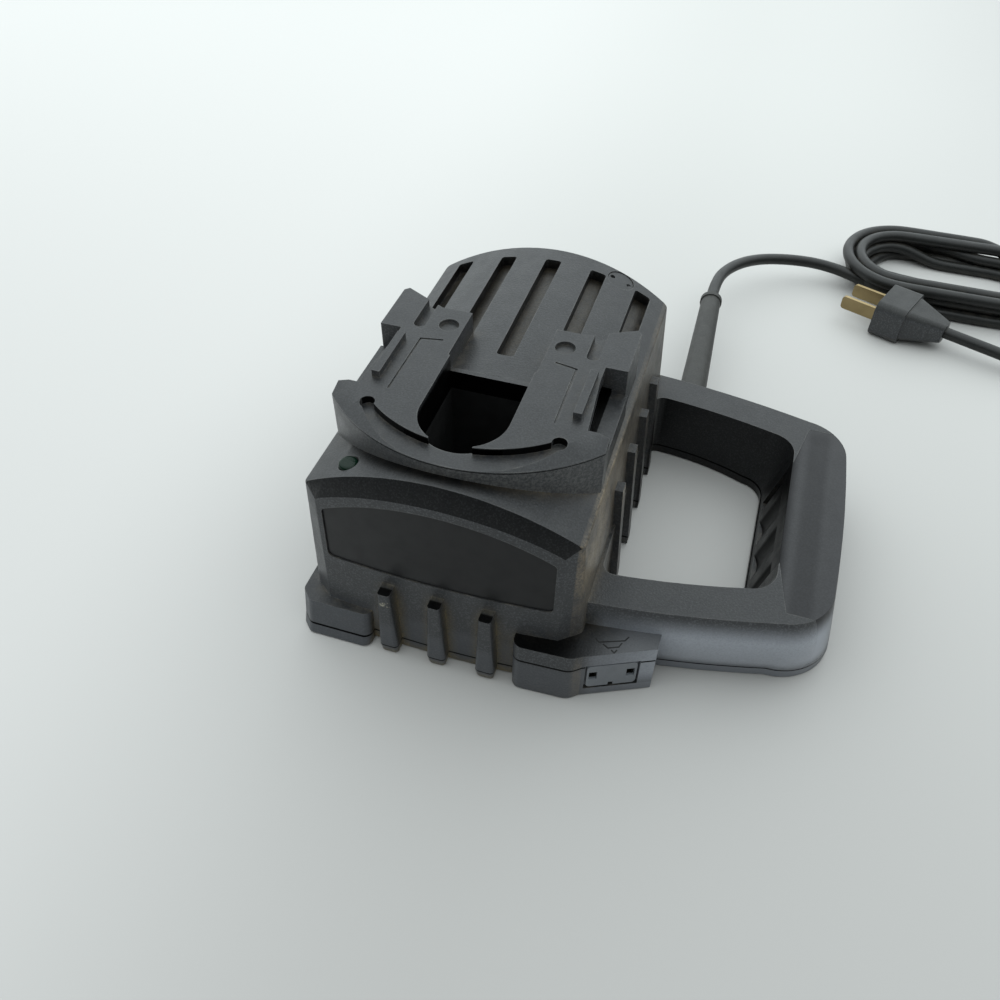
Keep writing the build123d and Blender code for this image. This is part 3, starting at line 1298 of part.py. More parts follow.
with BuildPart() as plug_body:
    with BuildSketch(plug_plane(0)):
        RectangleRounded(9, 9, 3)
    with BuildSketch(plug_plane(PLUG_LONG * 0.55)):
        RectangleRounded(PLUG_WIDE - 3, PLUG_TALL - 2, 4)
    loft()
    with BuildSketch(plug_plane(PLUG_LONG * 0.55)):
        RectangleRounded(PLUG_WIDE, PLUG_TALL, 4)
    extrude(amount=PLUG_LONG * 0.45)
plug_body.part.label = "plug_body"
export_step(plug_body.part, "parts/plug_body.step")

blades = []
for side in (-1, 1):
    with BuildPart() as blade:
        with BuildSketch(plug_plane(PLUG_LONG)):
            with Locations((side * BLADE_PITCH / 2, 0)):
                Rectangle(BLADE_THICK, BLADE_WIDE)
        extrude(amount=BLADE_LONG)
        fillet(blade.edges().filter_by(Axis(at(0, 0, 0), plug_side)).sort_by(
            lambda e: (e.center() - at(*PLUG_REAR)).dot(plug_axis))[-2:], 1.5)
    blades.append(blade.part)
write_group("plug_blades", blades)
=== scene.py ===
"""Looks of the battery charger: camera, light, cord, materials and fine detail."""
import math

import bmesh
import bpy
from mathutils import Matrix, Vector


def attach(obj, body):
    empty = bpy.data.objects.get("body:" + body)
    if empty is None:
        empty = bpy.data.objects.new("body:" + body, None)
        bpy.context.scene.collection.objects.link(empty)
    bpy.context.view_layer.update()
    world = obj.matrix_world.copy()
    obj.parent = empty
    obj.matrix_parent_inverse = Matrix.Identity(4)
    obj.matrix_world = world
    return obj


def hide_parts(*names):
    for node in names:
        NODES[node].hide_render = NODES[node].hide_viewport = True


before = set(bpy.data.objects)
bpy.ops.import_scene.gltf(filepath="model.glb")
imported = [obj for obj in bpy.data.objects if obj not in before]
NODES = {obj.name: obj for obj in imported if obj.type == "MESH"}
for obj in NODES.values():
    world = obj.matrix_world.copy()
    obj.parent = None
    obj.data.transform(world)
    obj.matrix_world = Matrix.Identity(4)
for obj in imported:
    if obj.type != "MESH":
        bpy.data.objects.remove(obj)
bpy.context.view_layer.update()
HOUSING = "housing"

MM = 0.001
CENTRE_X = 37.0      # the row frame's origin, in the tower's own millimetres
CENTRE_Y = 58.9


def at(x, y, z):
    """A point given in the tower's own millimetres, in the row frame."""
    return Vector(((x - CENTRE_X) * MM, (y - CENTRE_Y) * MM, z * MM))


def link(name, data):
    """A new object in the scene."""
    made = bpy.data.objects.new(name, data)
    bpy.context.scene.collection.objects.link(made)
    return made


# ---------------------------------------------------------------- camera
CAMERA_AT = (70.16, -165.95, 252.41)
CAMERA_RIGHT = Vector((0.952152, 0.305568, 0.005917))
CAMERA_UP = Vector((-0.224013, 0.684596, 0.693647))
CAMERA_BACK = Vector((0.207906, -0.661783, 0.720291))

camera_data = bpy.data.cameras.new("camera")
camera_data.sensor_width = 36.0
camera_data.lens = 32.697
camera_data.clip_start = 0.01
camera_data.clip_end = 50.0
camera = link("camera", camera_data)
turn = Matrix((CAMERA_RIGHT, CAMERA_UP, CAMERA_BACK)).transposed().to_4x4()
camera.matrix_world = Matrix.Translation(at(*CAMERA_AT)) @ turn
bpy.context.scene.camera = camera
bpy.context.scene.view_settings.view_transform = "Standard"


# ---------------------------------------------------------------- node helpers
class Nodes:
    """Short calls that add and join shader nodes."""

    def __init__(self, tree):
        self.tree = tree
        tree.nodes.clear()

    def add(self, kind, **values):
        node = self.tree.nodes.new(kind)
        for name, value in values.items():
            setattr(node, name, value)
        return node

    def put(self, socket, value):
        if isinstance(value, bpy.types.NodeSocket):
            self.tree.links.new(value, socket)
        elif isinstance(value, (tuple, list)) and len(value) == 3 and len(socket.default_value) == 4:
            socket.default_value = (*value, 1.0)
        else:
            socket.default_value = value

    def math(self, operation, a, b=None, c=None, clamp=False):
        node = self.add("ShaderNodeMath", operation=operation, use_clamp=clamp)
        for socket, value in zip(node.inputs, (a, b, c)):
            if value is not None:
                self.put(socket, value)
        return node.outputs[0]

    def all(self, *masks):
        """Product of masks."""
        product = masks[0]
        for mask in masks[1:]:
            product = self.math("MULTIPLY", product, mask)
        return product

    def any(self, *masks):
        """Sum of masks, held at 1."""
        total = masks[0]
        for mask in masks[1:]:
            total = self.math("ADD", total, mask, clamp=True)
        return total

    def span(self, value, low, high, out_low=0.0, out_high=1.0):
        """value taken smoothly from low..high to out_low..out_high, and held outside them."""
        node = self.add("ShaderNodeMapRange")
        node.interpolation_type = "SMOOTHSTEP"
        self.put(node.inputs[0], value)
        for i, v in enumerate((low, high, out_low, out_high)):
            self.put(node.inputs[i + 1], v)
        return node.outputs[0]

    def window(self, value, low, high, soft):
        """1 between low and high, fading over soft outside them."""
        return self.all(self.span(value, low - soft, low), self.span(value, high + soft, high))

    def mix(self, factor, a, b):
        node = self.add("ShaderNodeMix", data_type="RGBA", blend_type="MIX")
        self.put(node.inputs[0], factor)
        self.put(node.inputs[6], a)
        self.put(node.inputs[7], b)
        return node.outputs[2]

    def noise(self, scale, detail=3.0, rough=0.55):
        node = self.add("ShaderNodeTexNoise")
        node.inputs["Scale"].default_value = scale
        node.inputs["Detail"].default_value = detail
        node.inputs["Roughness"].default_value = rough
        self.put(node.inputs["Vector"], self.place())
        return node.outputs["Fac"]

    def place(self):
        if not hasattr(self, "coord"):
            self.coord = self.add("ShaderNodeTexCoord")
        return self.coord.outputs["Object"]

    def axes(self):
        """The surface's x, y and z in the tower's own millimetres."""
        if not hasattr(self, "split"):
            grow = self.add("ShaderNodeVectorMath", operation="MULTIPLY_ADD")
            self.put(grow.inputs[0], self.place())
            grow.inputs[1].default_value = (1 / MM, 1 / MM, 1 / MM)
            grow.inputs[2].default_value = (CENTRE_X, CENTRE_Y, 0)
            self.split = self.add("ShaderNodeSeparateXYZ")
            self.put(self.split.inputs[0], grow.outputs[0])
        return self.split.outputs

    def normal_axes(self):
        """The x, y and z of the direction that the face looks in."""
        if not hasattr(self, "facing"):
            geometry = self.add("ShaderNodeNewGeometry")
            self.facing = self.add("ShaderNodeSeparateXYZ")
            self.put(self.facing.inputs[0], geometry.outputs["True Normal"])
        return self.facing.outputs

    def edge(self, radius):
        """1 along convex and concave edges, 0 on flats."""
        bevel = self.add("ShaderNodeBevel", samples=4)
        bevel.inputs["Radius"].default_value = radius
        geometry = self.add("ShaderNodeNewGeometry")
        dot = self.add("ShaderNodeVectorMath", operation="DOT_PRODUCT")
        self.put(dot.inputs[0], bevel.outputs[0])
        self.put(dot.inputs[1], geometry.outputs["Normal"])
        return self.span(dot.outputs["Value"], 0.99, 0.86)

    def hollow(self, distance):
        """1 in corners and crevices, 0 in the open."""
        node = self.add("ShaderNodeAmbientOcclusion", samples=4)
        node.inputs["Distance"].default_value = distance
        return self.span(node.outputs["AO"], 0.95, 0.35)

    def bump(self, height, strength, distance):
        node = self.add("ShaderNodeBump")
        self.put(node.inputs["Height"], height)
        node.inputs["Strength"].default_value = strength
        node.inputs["Distance"].default_value = distance
        return node.outputs[0]


def material(name):
    made = bpy.data.materials.new(name)
    made.use_nodes = True
    n = Nodes(made.node_tree)
    shader = n.add("ShaderNodeBsdfPrincipled")
    output = n.add("ShaderNodeOutputMaterial")
    n.put(output.inputs[0], shader.outputs[0])
    return made, n, shader


# ---------------------------------------------------------------- materials
BLACK = (0.0, 0.0, 0.0)
DUST = (0.17, 0.145, 0.11)
BROWN_DUST = (0.13, 0.10, 0.06)
WALL_DUST = (0.22, 0.178, 0.125)
RIB_DUST = (0.20, 0.16, 0.09)
SKIRT_DUST = (0.19, 0.19, 0.185)
# painted highlight along the well's back rim
WELL_RIM_HIGHLIGHT = (0.28, 0.28, 0.26)
WORN = (0.17, 0.165, 0.155)
SCRATCHED = (0.5, 0.47, 0.36)
# painted glints on the grain's tips
PAINTED_GLINT = (0.14, 0.145, 0.155)
# painted light on upright faces that look to the front
FRONT_PAINTED_LIGHT = (0.055, 0.057, 0.060)
# painted light on low front faces
LOW_FRONT_PAINTED_LIGHT = (0.085, 0.09, 0.10)
# painted light on the right pod's top
POD_PAINTED_LIGHT = (0.06, 0.062, 0.067)
# painted sheen on the handle's front arm, and at its foot
PAINTED_SHEEN = (0.36, 0.38, 0.42)
PAINTED_SHEEN_FOOT = (0.20, 0.21, 0.23)

# Places on the charger, in the tower's own millimetres
SEAM_Z, SEAM_HALF = 4.0, 0.28               # joint between the two housings
POD_SEAM_Z, POD_SEAM_HALF = 15.5, 0.32      # the same joint on the right pod
POD_LEFT, POD_RIGHT, POD_BACK = 25.3, 69.0, 4.5
POD_TOP_Z = 21.5
ROOF_SLOT_PITCH, ROOF_SLOT_HALF = 17.0, 2.95
LIP_CENTRE_Y = 58.7
LIP_SHADE_R, LIP_SHADE_FADE = 57.2, 4.3     # the roof's shade before the dock, and how far it fades out
LIP_LINE_LOW, LIP_LINE_HIGH = 76.42, 76.60
GAP_X, GAP_Y = 75.0, 68.0                   # near the middle of the hand gap


def shell_plastic(name, base, rough, grain, dust=0.35, worn=0.25, sparkle=0.3, extra=None):
    """Moulded plastic with a fine grain, worn edges and dust in its corners; with sparkle set, it also has
    painted light on upright front faces and painted glints.

    extra(n) gives more layers as (mask, colour) pairs and a mask of black gaps and painted shade.
    """
    made, n, shader = material(name)
    fine = n.noise(1500.0, 2.0, 0.6)
    broad = n.noise(38.0, 4.0, 0.6)
    patchy = n.noise(160.0, 4.0, 0.65)
    wear = n.all(n.edge(0.0007), n.span(patchy, 0.42, 0.68, 0.15, 1.0), worn)
    settle = n.all(n.hollow(0.006), n.span(n.noise(240.0, 4.0, 0.7), 0.38, 0.66), dust)
    speck = n.math("MULTIPLY", n.span(n.noise(2300.0, 1.0, 0.5), 0.64, 0.72), 0.22 * dust)
    film = n.math("MULTIPLY", n.span(broad, 0.45, 0.75), 0.04 * dust)
    settle = n.any(settle, speck, film)
    tone = n.mix(n.span(broad, 0.3, 0.7), tuple(0.88 * c for c in base), tuple(1.15 * c for c in base))
    tone = n.mix(n.span(fine, 0.35, 0.7), tone, tuple(1.6 * c for c in base))
    ny, nz = n.normal_axes()[1:]
    upright = n.span(nz, 0.7, 0.25)
    # painted light: upright faces that look to the front are made lighter
    fronted = n.all(upright, n.span(ny, 0.2, -0.3), 0.7 if sparkle else 0.0)
    tone = n.mix(fronted, tone, FRONT_PAINTED_LIGHT)
    # painted glints: light specks of grain, most on upright faces that look to the front
    spark = n.all(n.span(n.noise(1700.0, 1.0, 0.5), 0.50, 0.66),
                  n.math("MULTIPLY_ADD", upright, 0.8, 0.2),
                  n.span(ny, 0.5, 0.1, 0.35, 1.0), sparkle)
    tone = n.mix(spark, tone, PAINTED_GLINT)
    tone = n.mix(wear, tone, WORN)
    tone = n.mix(settle, tone, DUST)
    layers, gap_and_shade = extra(n) if extra else ([], None)
    for mask, colour in layers:
        tone = n.mix(mask, tone, colour)
    # the mask holds real gaps and painted shade, both made black
    if gap_and_shade is not None:
        tone = n.mix(gap_and_shade, tone, BLACK)
        n.put(shader.inputs["Metallic"], gap_and_shade)       # a black metal gives nothing back, as a gap does
    n.put(shader.inputs["Base Color"], tone)
    gloss = n.span(patchy, 0.3, 0.7, rough - 0.04, rough + 0.06)
    dulled = n.math("ADD", gloss, n.math("MULTIPLY", settle, 0.4), clamp=True)
    n.put(shader.inputs["Roughness"], dulled)
    shader.inputs["IOR"].default_value = 1.5
    shader.inputs["Specular IOR Level"].default_value = 0.34
    n.put(shader.inputs["Normal"], n.bump(fine, grain, 0.00012))
    return made


def simple(name, base, rough, metal=0.0, grain=0.15, grain_size=900.0, specular=0.5):
    """A plain material with slight variation in tone and gloss."""
    made, n, shader = material(name)
    light = tuple(min(1.0, 1.15 * c) for c in base)
    n.put(shader.inputs["Base Color"], n.mix(n.noise(120.0), tuple(0.82 * c for c in base), light))
    gloss = n.span(n.noise(200.0), 0.3, 0.7, max(0.05, rough - 0.06), rough + 0.08)
    n.put(shader.inputs["Roughness"], gloss)
    shader.inputs["Metallic"].default_value = metal
    shader.inputs["Specular IOR Level"].default_value = specular
    n.put(shader.inputs["Normal"], n.bump(n.noise(grain_size), grain, 0.0001))
    return made


def hand_gap(n):
    """1 on the walls round the hand gap, which lie in shade."""
    x, y = n.axes()[:2]
    nx, ny, nz = n.normal_axes()
    inward = n.math("ADD", n.math("MULTIPLY", n.math("SUBTRACT", GAP_X, x), nx),
                    n.math("MULTIPLY", n.math("SUBTRACT", GAP_Y, y), ny))
    return n.all(n.window(x, 48.0, 103.0, 0.8), n.window(y, 26.0, 116.0, 0.8),
                 n.span(nz, 0.7, 0.4), n.span(inward, 0.0, 8.0))


def front_arm(n):
    """1 on the outer front of the handle's front arm, fading towards the tower."""
    x, y = n.axes()[:2]
    nx, ny = n.normal_axes()[:2]
    outward = n.math("MAXIMUM", n.math("MULTIPLY", ny, -1.0), nx)
    return n.all(n.span(x, 46.0, 80.0, 0.35, 1.0), n.span(x, 46.0, 52.0), n.span(y, 36.0, 20.0),
                 n.span(outward, 0.05, 0.5))


def arm_sheen_mask(n, arm):
    """1 along the arm's round front, where the sheen is painted, 0 at its top edge and its foot."""
    z = n.axes()[2]
    return n.all(arm, n.span(z, 0.5, 11.0), n.span(z, 29.0, 20.0))


def housing_extra(n):
    """Dust, a painted sheen and painted light, painted shade in recesses, and the joint between the two
    housings.
    """
    x, y, z = n.axes()
    nx, ny, nz = n.normal_axes()
    level = n.span(nz, 0.6, 0.8)
    patch = n.span(n.noise(70.0, 5.0, 0.7), 0.30, 0.62, 0.25, 1.0)
    fleck = n.span(n.noise(1100.0, 2.0, 0.7), 0.32, 0.62, 0.35, 1.0)

    side_wall = n.all(n.window(x, 42.0, 49.0, 0.6), n.span(nx, 0.35, 0.7), n.span(y, 75.0, 20.0, 0.4, 1.0),
                      n.span(z, 28.0, 46.0, 0.4, 1.0), patch, fleck)
    roof_foot = n.all(n.window(x, 12.0, 44.0, 9.0), n.window(y, 4.0, 24.0, 3.0), n.span(nz, 0.7, 0.95),
                      n.hollow(0.005), fleck, 0.5)
    # painted light: low upright faces that look to the front are lighter
    low_front = n.all(n.span(z, 17.0, 13.0), n.span(y, 24.0, 16.0), n.span(ny, -0.2, -0.7), 0.55)
    # painted highlight, speckled, along the well's back rim
    well_back = n.all(n.window(x, -13.5, 13.5, 1.5), n.window(y, 47.0, 49.0, 1.2), n.span(z, 71.0, 72.0),
                      fleck, 0.9)

    beside_ribs = n.all(n.window(x, -22.0, 24.0, 3.0), n.span(y, -5.0, -7.5), n.span(z, 34.0, 20.0),
                        n.hollow(0.004), fleck)
    # painted shade on the tops of the ribs
    rib_top = n.all(n.window(x, -20.0, 22.0, 1.0), n.span(y, -8.4, -9.0), n.span(z, 18.0, 20.0),
                    n.span(nz, 0.35, 0.6), 0.8)
    scratch = n.all(n.window(x, -17.3, -14.4, 0.3), n.window(z, 24.6, 26.4, 0.5), n.span(y, -9.0, -9.5),
                    n.span(n.noise(700.0, 2.0, 0.7), 0.45, 0.6), 0.6)

    arm = front_arm(n)
    # painted sheen down the front arm's round front
    sheen = n.all(arm_sheen_mask(n, arm), n.span(n.noise(1500.0, 2.0, 0.6), 0.2, 0.7, 0.8, 1.0))
    # painted sheen on the front arm's foot, below the joint
    arm_foot_sheen = n.all(arm, n.span(z, 4.2, 3.7), 0.8)

    pod_top = n.all(n.window(z, POD_TOP_Z - 0.5, POD_TOP_Z + 0.4, 0.3), n.span(y, 12.0, 10.0), level,
                    n.span(x, 24.5, 25.0))
    # painted light on the right end of the right pod's top; pod_shade below is painted shade on its left
    # part
    pod_light = n.all(pod_top, n.span(x, 46.0, 63.0))
    pod_shade = n.all(pod_top, n.span(x, 61.0, 38.0, 0.0, 0.85))

    half_pitch = ROOF_SLOT_PITCH / 2
    along_pitch = n.math("FLOORED_MODULO", n.math("ADD", x, half_pitch), ROOF_SLOT_PITCH)
    off_slot = n.math("ABSOLUTE", n.math("SUBTRACT", along_pitch, half_pitch))
    # painted shade in the roof's slots; slot_dust below is real dust
    slot = n.all(n.span(off_slot, ROOF_SLOT_HALF + 0.25, ROOF_SLOT_HALF), n.span(y, 60.0, 64.0),
                 n.span(z, 60.0, 62.0), n.hollow(0.008))
    slot_dust = n.all(slot, level, fleck, 0.5)

    across = n.math("SUBTRACT", y, LIP_CENTRE_Y)
    arc = n.math("SQRT", n.math("ADD", n.math("MULTIPLY", x, x), n.math("MULTIPLY", across, across)))
    lip_shade = n.all(level, n.span(z, 66.0, 66.5), n.span(y, 30.0, 26.0),
                      n.span(arc, LIP_SHADE_R + LIP_SHADE_FADE, LIP_SHADE_R), n.span(x, 36.0, 0.0), 0.8)
    # painted shade on the slanted band above the label
    band = n.all(n.window(nz, 0.25, 0.7, 0.1), n.span(ny, -0.4, -0.6), n.span(z, 52.0, 58.0))

    pod = n.all(n.window(x, POD_LEFT, POD_RIGHT, 0.05), n.span(y, POD_BACK + 0.05, POD_BACK))
    seam = n.all(n.window(z, SEAM_Z - SEAM_HALF, SEAM_Z + SEAM_HALF, 0.12), n.math("SUBTRACT", 1.0, pod))
    pod_seam = n.all(n.window(z, POD_SEAM_Z - POD_SEAM_HALF, POD_SEAM_Z + POD_SEAM_HALF, 0.1), pod)

    layers = [
        (low_front, LOW_FRONT_PAINTED_LIGHT),
        (side_wall, WALL_DUST),
        (roof_foot, BROWN_DUST),
        (beside_ribs, RIB_DUST),
        (sheen, PAINTED_SHEEN),
        (arm_foot_sheen, PAINTED_SHEEN_FOOT),
        (pod_light, POD_PAINTED_LIGHT),
        (well_back, WELL_RIM_HIGHLIGHT),
        (slot_dust, BROWN_DUST),
        (scratch, SCRATCHED),
    ]
    # seam and pod_seam are dark joints; the rest of this mask is painted shade
    gaps_and_shade = n.any(seam, pod_seam, n.math("MULTIPLY", band, 0.6), n.math("MULTIPLY", hand_gap(n), 0.6),
                 pod_shade, lip_shade, n.math("MULTIPLY", slot, 0.7), rib_top)
    return layers, gaps_and_shade


def dock_extra(n):
    """A dark line under the lip's edge, dust on the skirt below it, and painted shade on the dock's front
    step, in the notch and on the well's upper walls.
    """
    x, y, z = n.axes()
    ny, nz = n.normal_axes()[1:]
    upright = n.span(nz, 0.4, 0.2)
    front = n.span(y, 27.5, 26.5)
    fleck = n.span(n.noise(1100.0, 2.0, 0.7), 0.40, 0.66, 0.25, 1.0)
    skirt = n.all(upright, front, n.span(z, 76.5, 76.3), n.span(x, -20.0, 12.0, 0.35, 1.0), fleck, 0.5)
    line = n.all(n.window(z, LIP_LINE_LOW, LIP_LINE_HIGH, 0.05), upright, front)
    # painted shade on the upright front wall of the step above the lip
    step = n.all(upright, n.window(z, 77.1, 79.2, 0.15), n.span(ny, -0.2, -0.5), n.span(y, 27.0, 25.0), 0.85)
    # painted shade in the notch beside the right ledge
    notch = n.all(n.window(x, 32.6, 36.4, 0.25), n.window(y, 36.0, 60.0, 1.5), n.window(z, 69.0, 71.5, 0.5),
                  0.93)
    # painted shade on the well's upper walls
    well = n.all(n.window(x, -14.6, 14.6, 0.3), n.window(y, 8.0, 48.5, 0.5), upright, n.span(z, 79.2, 77.0),
                 0.9)
    return [(skirt, SKIRT_DUST)], n.any(line, step, notch, well)


def grip_extra(n):
    """Painted shade on the grip's inner shoulder and down its middle, and the front arm's painted sheen."""
    x, y = n.axes()[:2]
    # painted shade on the inner shoulder and down the middle
    inner = n.all(n.span(x, 102.5, 98.0), n.window(y, 24.0, 104.0, 3.0), 0.85)
    middle = n.all(n.window(x, 105.5, 109.5, 3.0), n.window(y, 20.0, 105.0, 8.0), 0.25)
    return [(arm_sheen_mask(n, front_arm(n)), PAINTED_SHEEN)], n.any(inner, middle)


HOUSING_BLACK = shell_plastic("housing_plastic", (0.0115, 0.012, 0.013), 0.37, 0.7, worn=0.5,
                              extra=housing_extra)
DOCK_BLACK = shell_plastic("dock_plastic", (0.011, 0.0115, 0.0125), 0.38, 0.55, dust=0.25, worn=0.45,
                           extra=dock_extra)
GRIP_BLACK = shell_plastic("grip_rubber", (0.010, 0.010, 0.0115), 0.40, 0.08, dust=0.1, worn=0.1,
                           sparkle=0.0, extra=grip_extra)
PLUG_BLACK = shell_plastic("roof_plug_plastic", (0.0125, 0.013, 0.014), 0.40, 0.3, dust=0.2, worn=0.2)
WELL_BLACK = simple("well_plastic", (0.006, 0.006, 0.006), 0.6)
LABEL_BLACK = simple("label_plate", (0.007, 0.007, 0.0078), 0.36, grain=0.04, specular=0.34)
SOCKET_GREY = simple("socket_plastic", (0.17, 0.18, 0.195), 0.45)
DARK = simple("dark_plastic", (0.012, 0.012, 0.013), 0.4)
BRASS = simple("contact_brass", (0.62, 0.47, 0.22), 0.28, metal=1.0)
# tarnished brass, darkened further as painted shade of the deep socket holes
DULL_SHADED_BRASS = simple("sleeve_brass", (0.012, 0.011, 0.008), 0.5, metal=1.0)
BLADE_BRASS = simple("blade_brass", (0.30, 0.23, 0.12), 0.42, metal=1.0, grain=0.3)
STEEL = simple("steel", (0.42, 0.42, 0.43), 0.35, metal=1.0)
CORE = simple("core_steel", (0.16, 0.15, 0.15), 0.5, metal=0.8)
COPPER = simple("winding", (0.42, 0.16, 0.07), 0.35, metal=0.7)
NYLON = simple("bobbin", (0.6, 0.6, 0.56), 0.5)
BOARD = simple("board", (0.10, 0.17, 0.05), 0.4)
LENS = simple("lens_green", (0.001, 0.011, 0.005), 0.16, grain=0.8, grain_size=700.0, specular=0.16)
LED = simple("led_green", (0.10, 0.45, 0.16), 0.2)
RUBBER = simple("foot_rubber", (0.02, 0.02, 0.02), 0.75)
LEAD_RED = simple("lead_insulation", (0.35, 0.03, 0.02), 0.45)
CERAMIC = simple("resistor_body", (0.2, 0.33, 0.4), 0.5)
SLEEVE = simple("capacitor_sleeve", (0.02, 0.03, 0.12), 0.3)
ALUMINIUM = simple("heat_sink", (0.6, 0.6, 0.61), 0.35, metal=1.0)
CORD_GREY = shell_plastic("cord_rubber", (0.010, 0.0105, 0.010), 0.40, 0.15, dust=0.2, worn=0.0,
                          sparkle=0.0)
RELIEF = shell_plastic("relief_rubber", (0.019, 0.019, 0.017), 0.5, 0.3, dust=0.5, worn=0.2, sparkle=0.1)
PLUG_GREY = shell_plastic("plug_rubber", (0.012, 0.0125, 0.012), 0.45, 0.25, dust=0.2, worn=0.2)
# near-black as painted shade of the engraved chevron lines
ENGRAVING_SHADE_BLACK = simple("engraved_line", (0.003, 0.003, 0.003), 0.8)

FINISHES = {
    HOUSING_BLACK: ["upper_housing", "lower_housing"],
    PLUG_BLACK: ["roof_plug"],
    DOCK_BLACK: ["dock_plate"],
    GRIP_BLACK: ["handle_grip"],
    WELL_BLACK: ["well_sleeve", "terminal_block"],
    LABEL_BLACK: ["label_plate"],
    SOCKET_GREY: ["output_socket"],
    DARK: ["rectifier_diodes", "charge_controller", "power_transistor", "thermal_cutout"],
    BRASS: ["contact_positive", "contact_negative", "contact_sensor", "terminal_pins"],
    BLADE_BRASS: ["plug_blades"],
    DULL_SHADED_BRASS: ["socket_sleeves"],
    STEEL: ["housing_screws", "transformer_screws", "board_screws", "transformer_strap"],
    CORE: ["transformer_core"],
    COPPER: ["primary_winding", "secondary_winding"],
    NYLON: ["transformer_bobbin", "line_fuse"],
    BOARD: ["circuit_board"],
    LENS: ["led_lens"],
    LED: ["led_body"],
    RUBBER: ["foot_pads"],
    LEAD_RED: ["mains_leads", "secondary_leads", "socket_leads"],
    CERAMIC: ["sense_resistors"],
    SLEEVE: ["filter_capacitor"],
    ALUMINIUM: ["heat_sink"],
    CORD_GREY: ["power_cord", "plug_cord", "cord_coil"],
    RELIEF: ["strain_relief"],
    PLUG_GREY: ["plug_body"],
}
for finish, names in FINISHES.items():
    for name in names:
        data = NODES[name].data
        data.materials.clear()
        data.materials.append(finish)


# ---------------------------------------------------------------- rounded edges
EDGE_WIDTHS = {      # in metres
    "upper_housing": 0.00045,
    "lower_housing": 0.00035,
    "dock_plate": 0.0003,
    "handle_grip": 0.0003,
    "output_socket": 0.00015,
}
SHARP_ANGLE = 32.0
FLAT_ANGLE = 0.6


def soften(name, width):
    """Rounds a CAD node's sharp edges and shades its curved faces smooth."""
    node = NODES[name]
    weld = node.modifiers.new("weld", "WELD")
    weld.merge_threshold = 1e-6
    flat = node.modifiers.new("flat", "DECIMATE")
    flat.decimate_type = "DISSOLVE"
    flat.angle_limit = math.radians(FLAT_ANGLE)
    bevel = node.modifiers.new("bevel", "BEVEL")
    bevel.width = width
    bevel.segments = 2
    bevel.limit_method = "ANGLE"
    bevel.angle_limit = math.radians(SHARP_ANGLE)
    bevel.harden_normals = True
    bevel.use_clamp_overlap = True
    even = node.modifiers.new("even", "WEIGHTED_NORMAL")
    even.mode = "FACE_AREA"
    even.weight = 100
    node.data.shade_smooth()


for name, width in EDGE_WIDTHS.items():
    soften(name, width)


# ---------------------------------------------------------------- chevrons on the right pod
CHEVRON_WIDTH = 0.45
CHEVRON_HEIGHT = 0.05
CHEVRON_SUNK = 0.3
CHEVRONS = [
    [(49.4, -0.9), (50.9, -2.0), (58.4, 0.9), (59.3, 2.7)],
    [(52.2, -2.3), (54.0, -3.3), (57.1, -1.9), (57.7, -0.2)],
    [(55.1, -3.7), (56.2, -4.5), (56.8, -3.2)],
]
LEAST_MITRE = 0.3        # keeps a sharp corner from running out into a spike


def add_strip(shape, run):
    """Adds to shape a flat-topped line along run, a list of x, y on the pod's top."""
    run = [Vector(p) for p in run]
    low, high = POD_TOP_Z - CHEVRON_SUNK, POD_TOP_Z + CHEVRON_HEIGHT
    rings = []
    for i, p in enumerate(run):
        before = (p - run[i - 1]).normalized() if i else (run[1] - p).normalized()
        after = (run[i + 1] - p).normalized() if i + 1 < len(run) else before
        along = (before + after).normalized()
        side = Vector((-along.y, along.x)) * CHEVRON_WIDTH / 2 / max(LEAST_MITRE, along.dot(before))
        a, b = p + side, p - side
        section = ((a, low), (a, high), (b, high), (b, low))
        rings.append([shape.verts.new(at(q.x, q.y, z)) for q, z in section])
    for one, two in zip(rings, rings[1:]):
        for j in range(4):
            k = (j + 1) % 4
            shape.faces.new((one[j], two[j], two[k], one[k]))
    shape.faces.new(rings[0])
    shape.faces.new(reversed(rings[-1]))


def strips(name, runs):
    """One piece of flat-topped lines on the right pod's top."""
    shape = bmesh.new()
    for run in runs:
        add_strip(shape, run)
    bmesh.ops.recalc_face_normals(shape, faces=shape.faces)
    mesh = bpy.data.meshes.new(name)
    shape.to_mesh(mesh)
    shape.free()
    # the strips' black is painted shade of the engraving
    mesh.materials.append(ENGRAVING_SHADE_BLACK)
    piece = link(name, mesh)
    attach(piece, HOUSING)
    return piece


chevrons = strips("pod_chevrons", CHEVRONS)

# ---------------------------------------------------------------- cord
CORD_D = 5.2
CORD_ROUTE = [
    (55.4, 198.0, 19.0),
    (54.8, 214.0, 19.0),
    (59.2, 230.0, 18.0),
    (69.5, 245.0, 15.8),
    (85.0, 255.5, 12.8),
    (102.0, 262.0, 9.6),
    (119.0, 258.5, 8.0),
]
TAIL_ROUTE = [
    (198.0, 256.5, 7.2),
    (216.0, 257.0, 6.4),
    (230.0, 247.0, 4.8),
    (231.0, 230.0, 3.4),
    (220.0, 216.0, 3.0),
    (202.0, 211.0, 5.0),
    (180.0, 214.0, 8.5),
    (160.0, 222.0, 8.5),
]
COIL_X, COIL_Y = 163.5, 275.0
COIL_R = 22.0
COIL_HALF_RUN = 22.5
COIL_EASE = 1.004        # the control points lie a little outside the curve
PITCH = 5.3              # between turns side by side
ROW = 4.9                # between layers of turns
SLOTS = [(1, 0), (0, 0), (-1, 0), (-0.5, 1), (0.5, 1), (1, 2), (0, 2)]      # column and layer of each turn
STEPS = 32
FLOOR_GAP = 0.05
FIRST_SHIFT, SHIFT_STEP, SHIFT_RUN = 0.78, 0.085, 0.1       # where a turn moves to the next slot
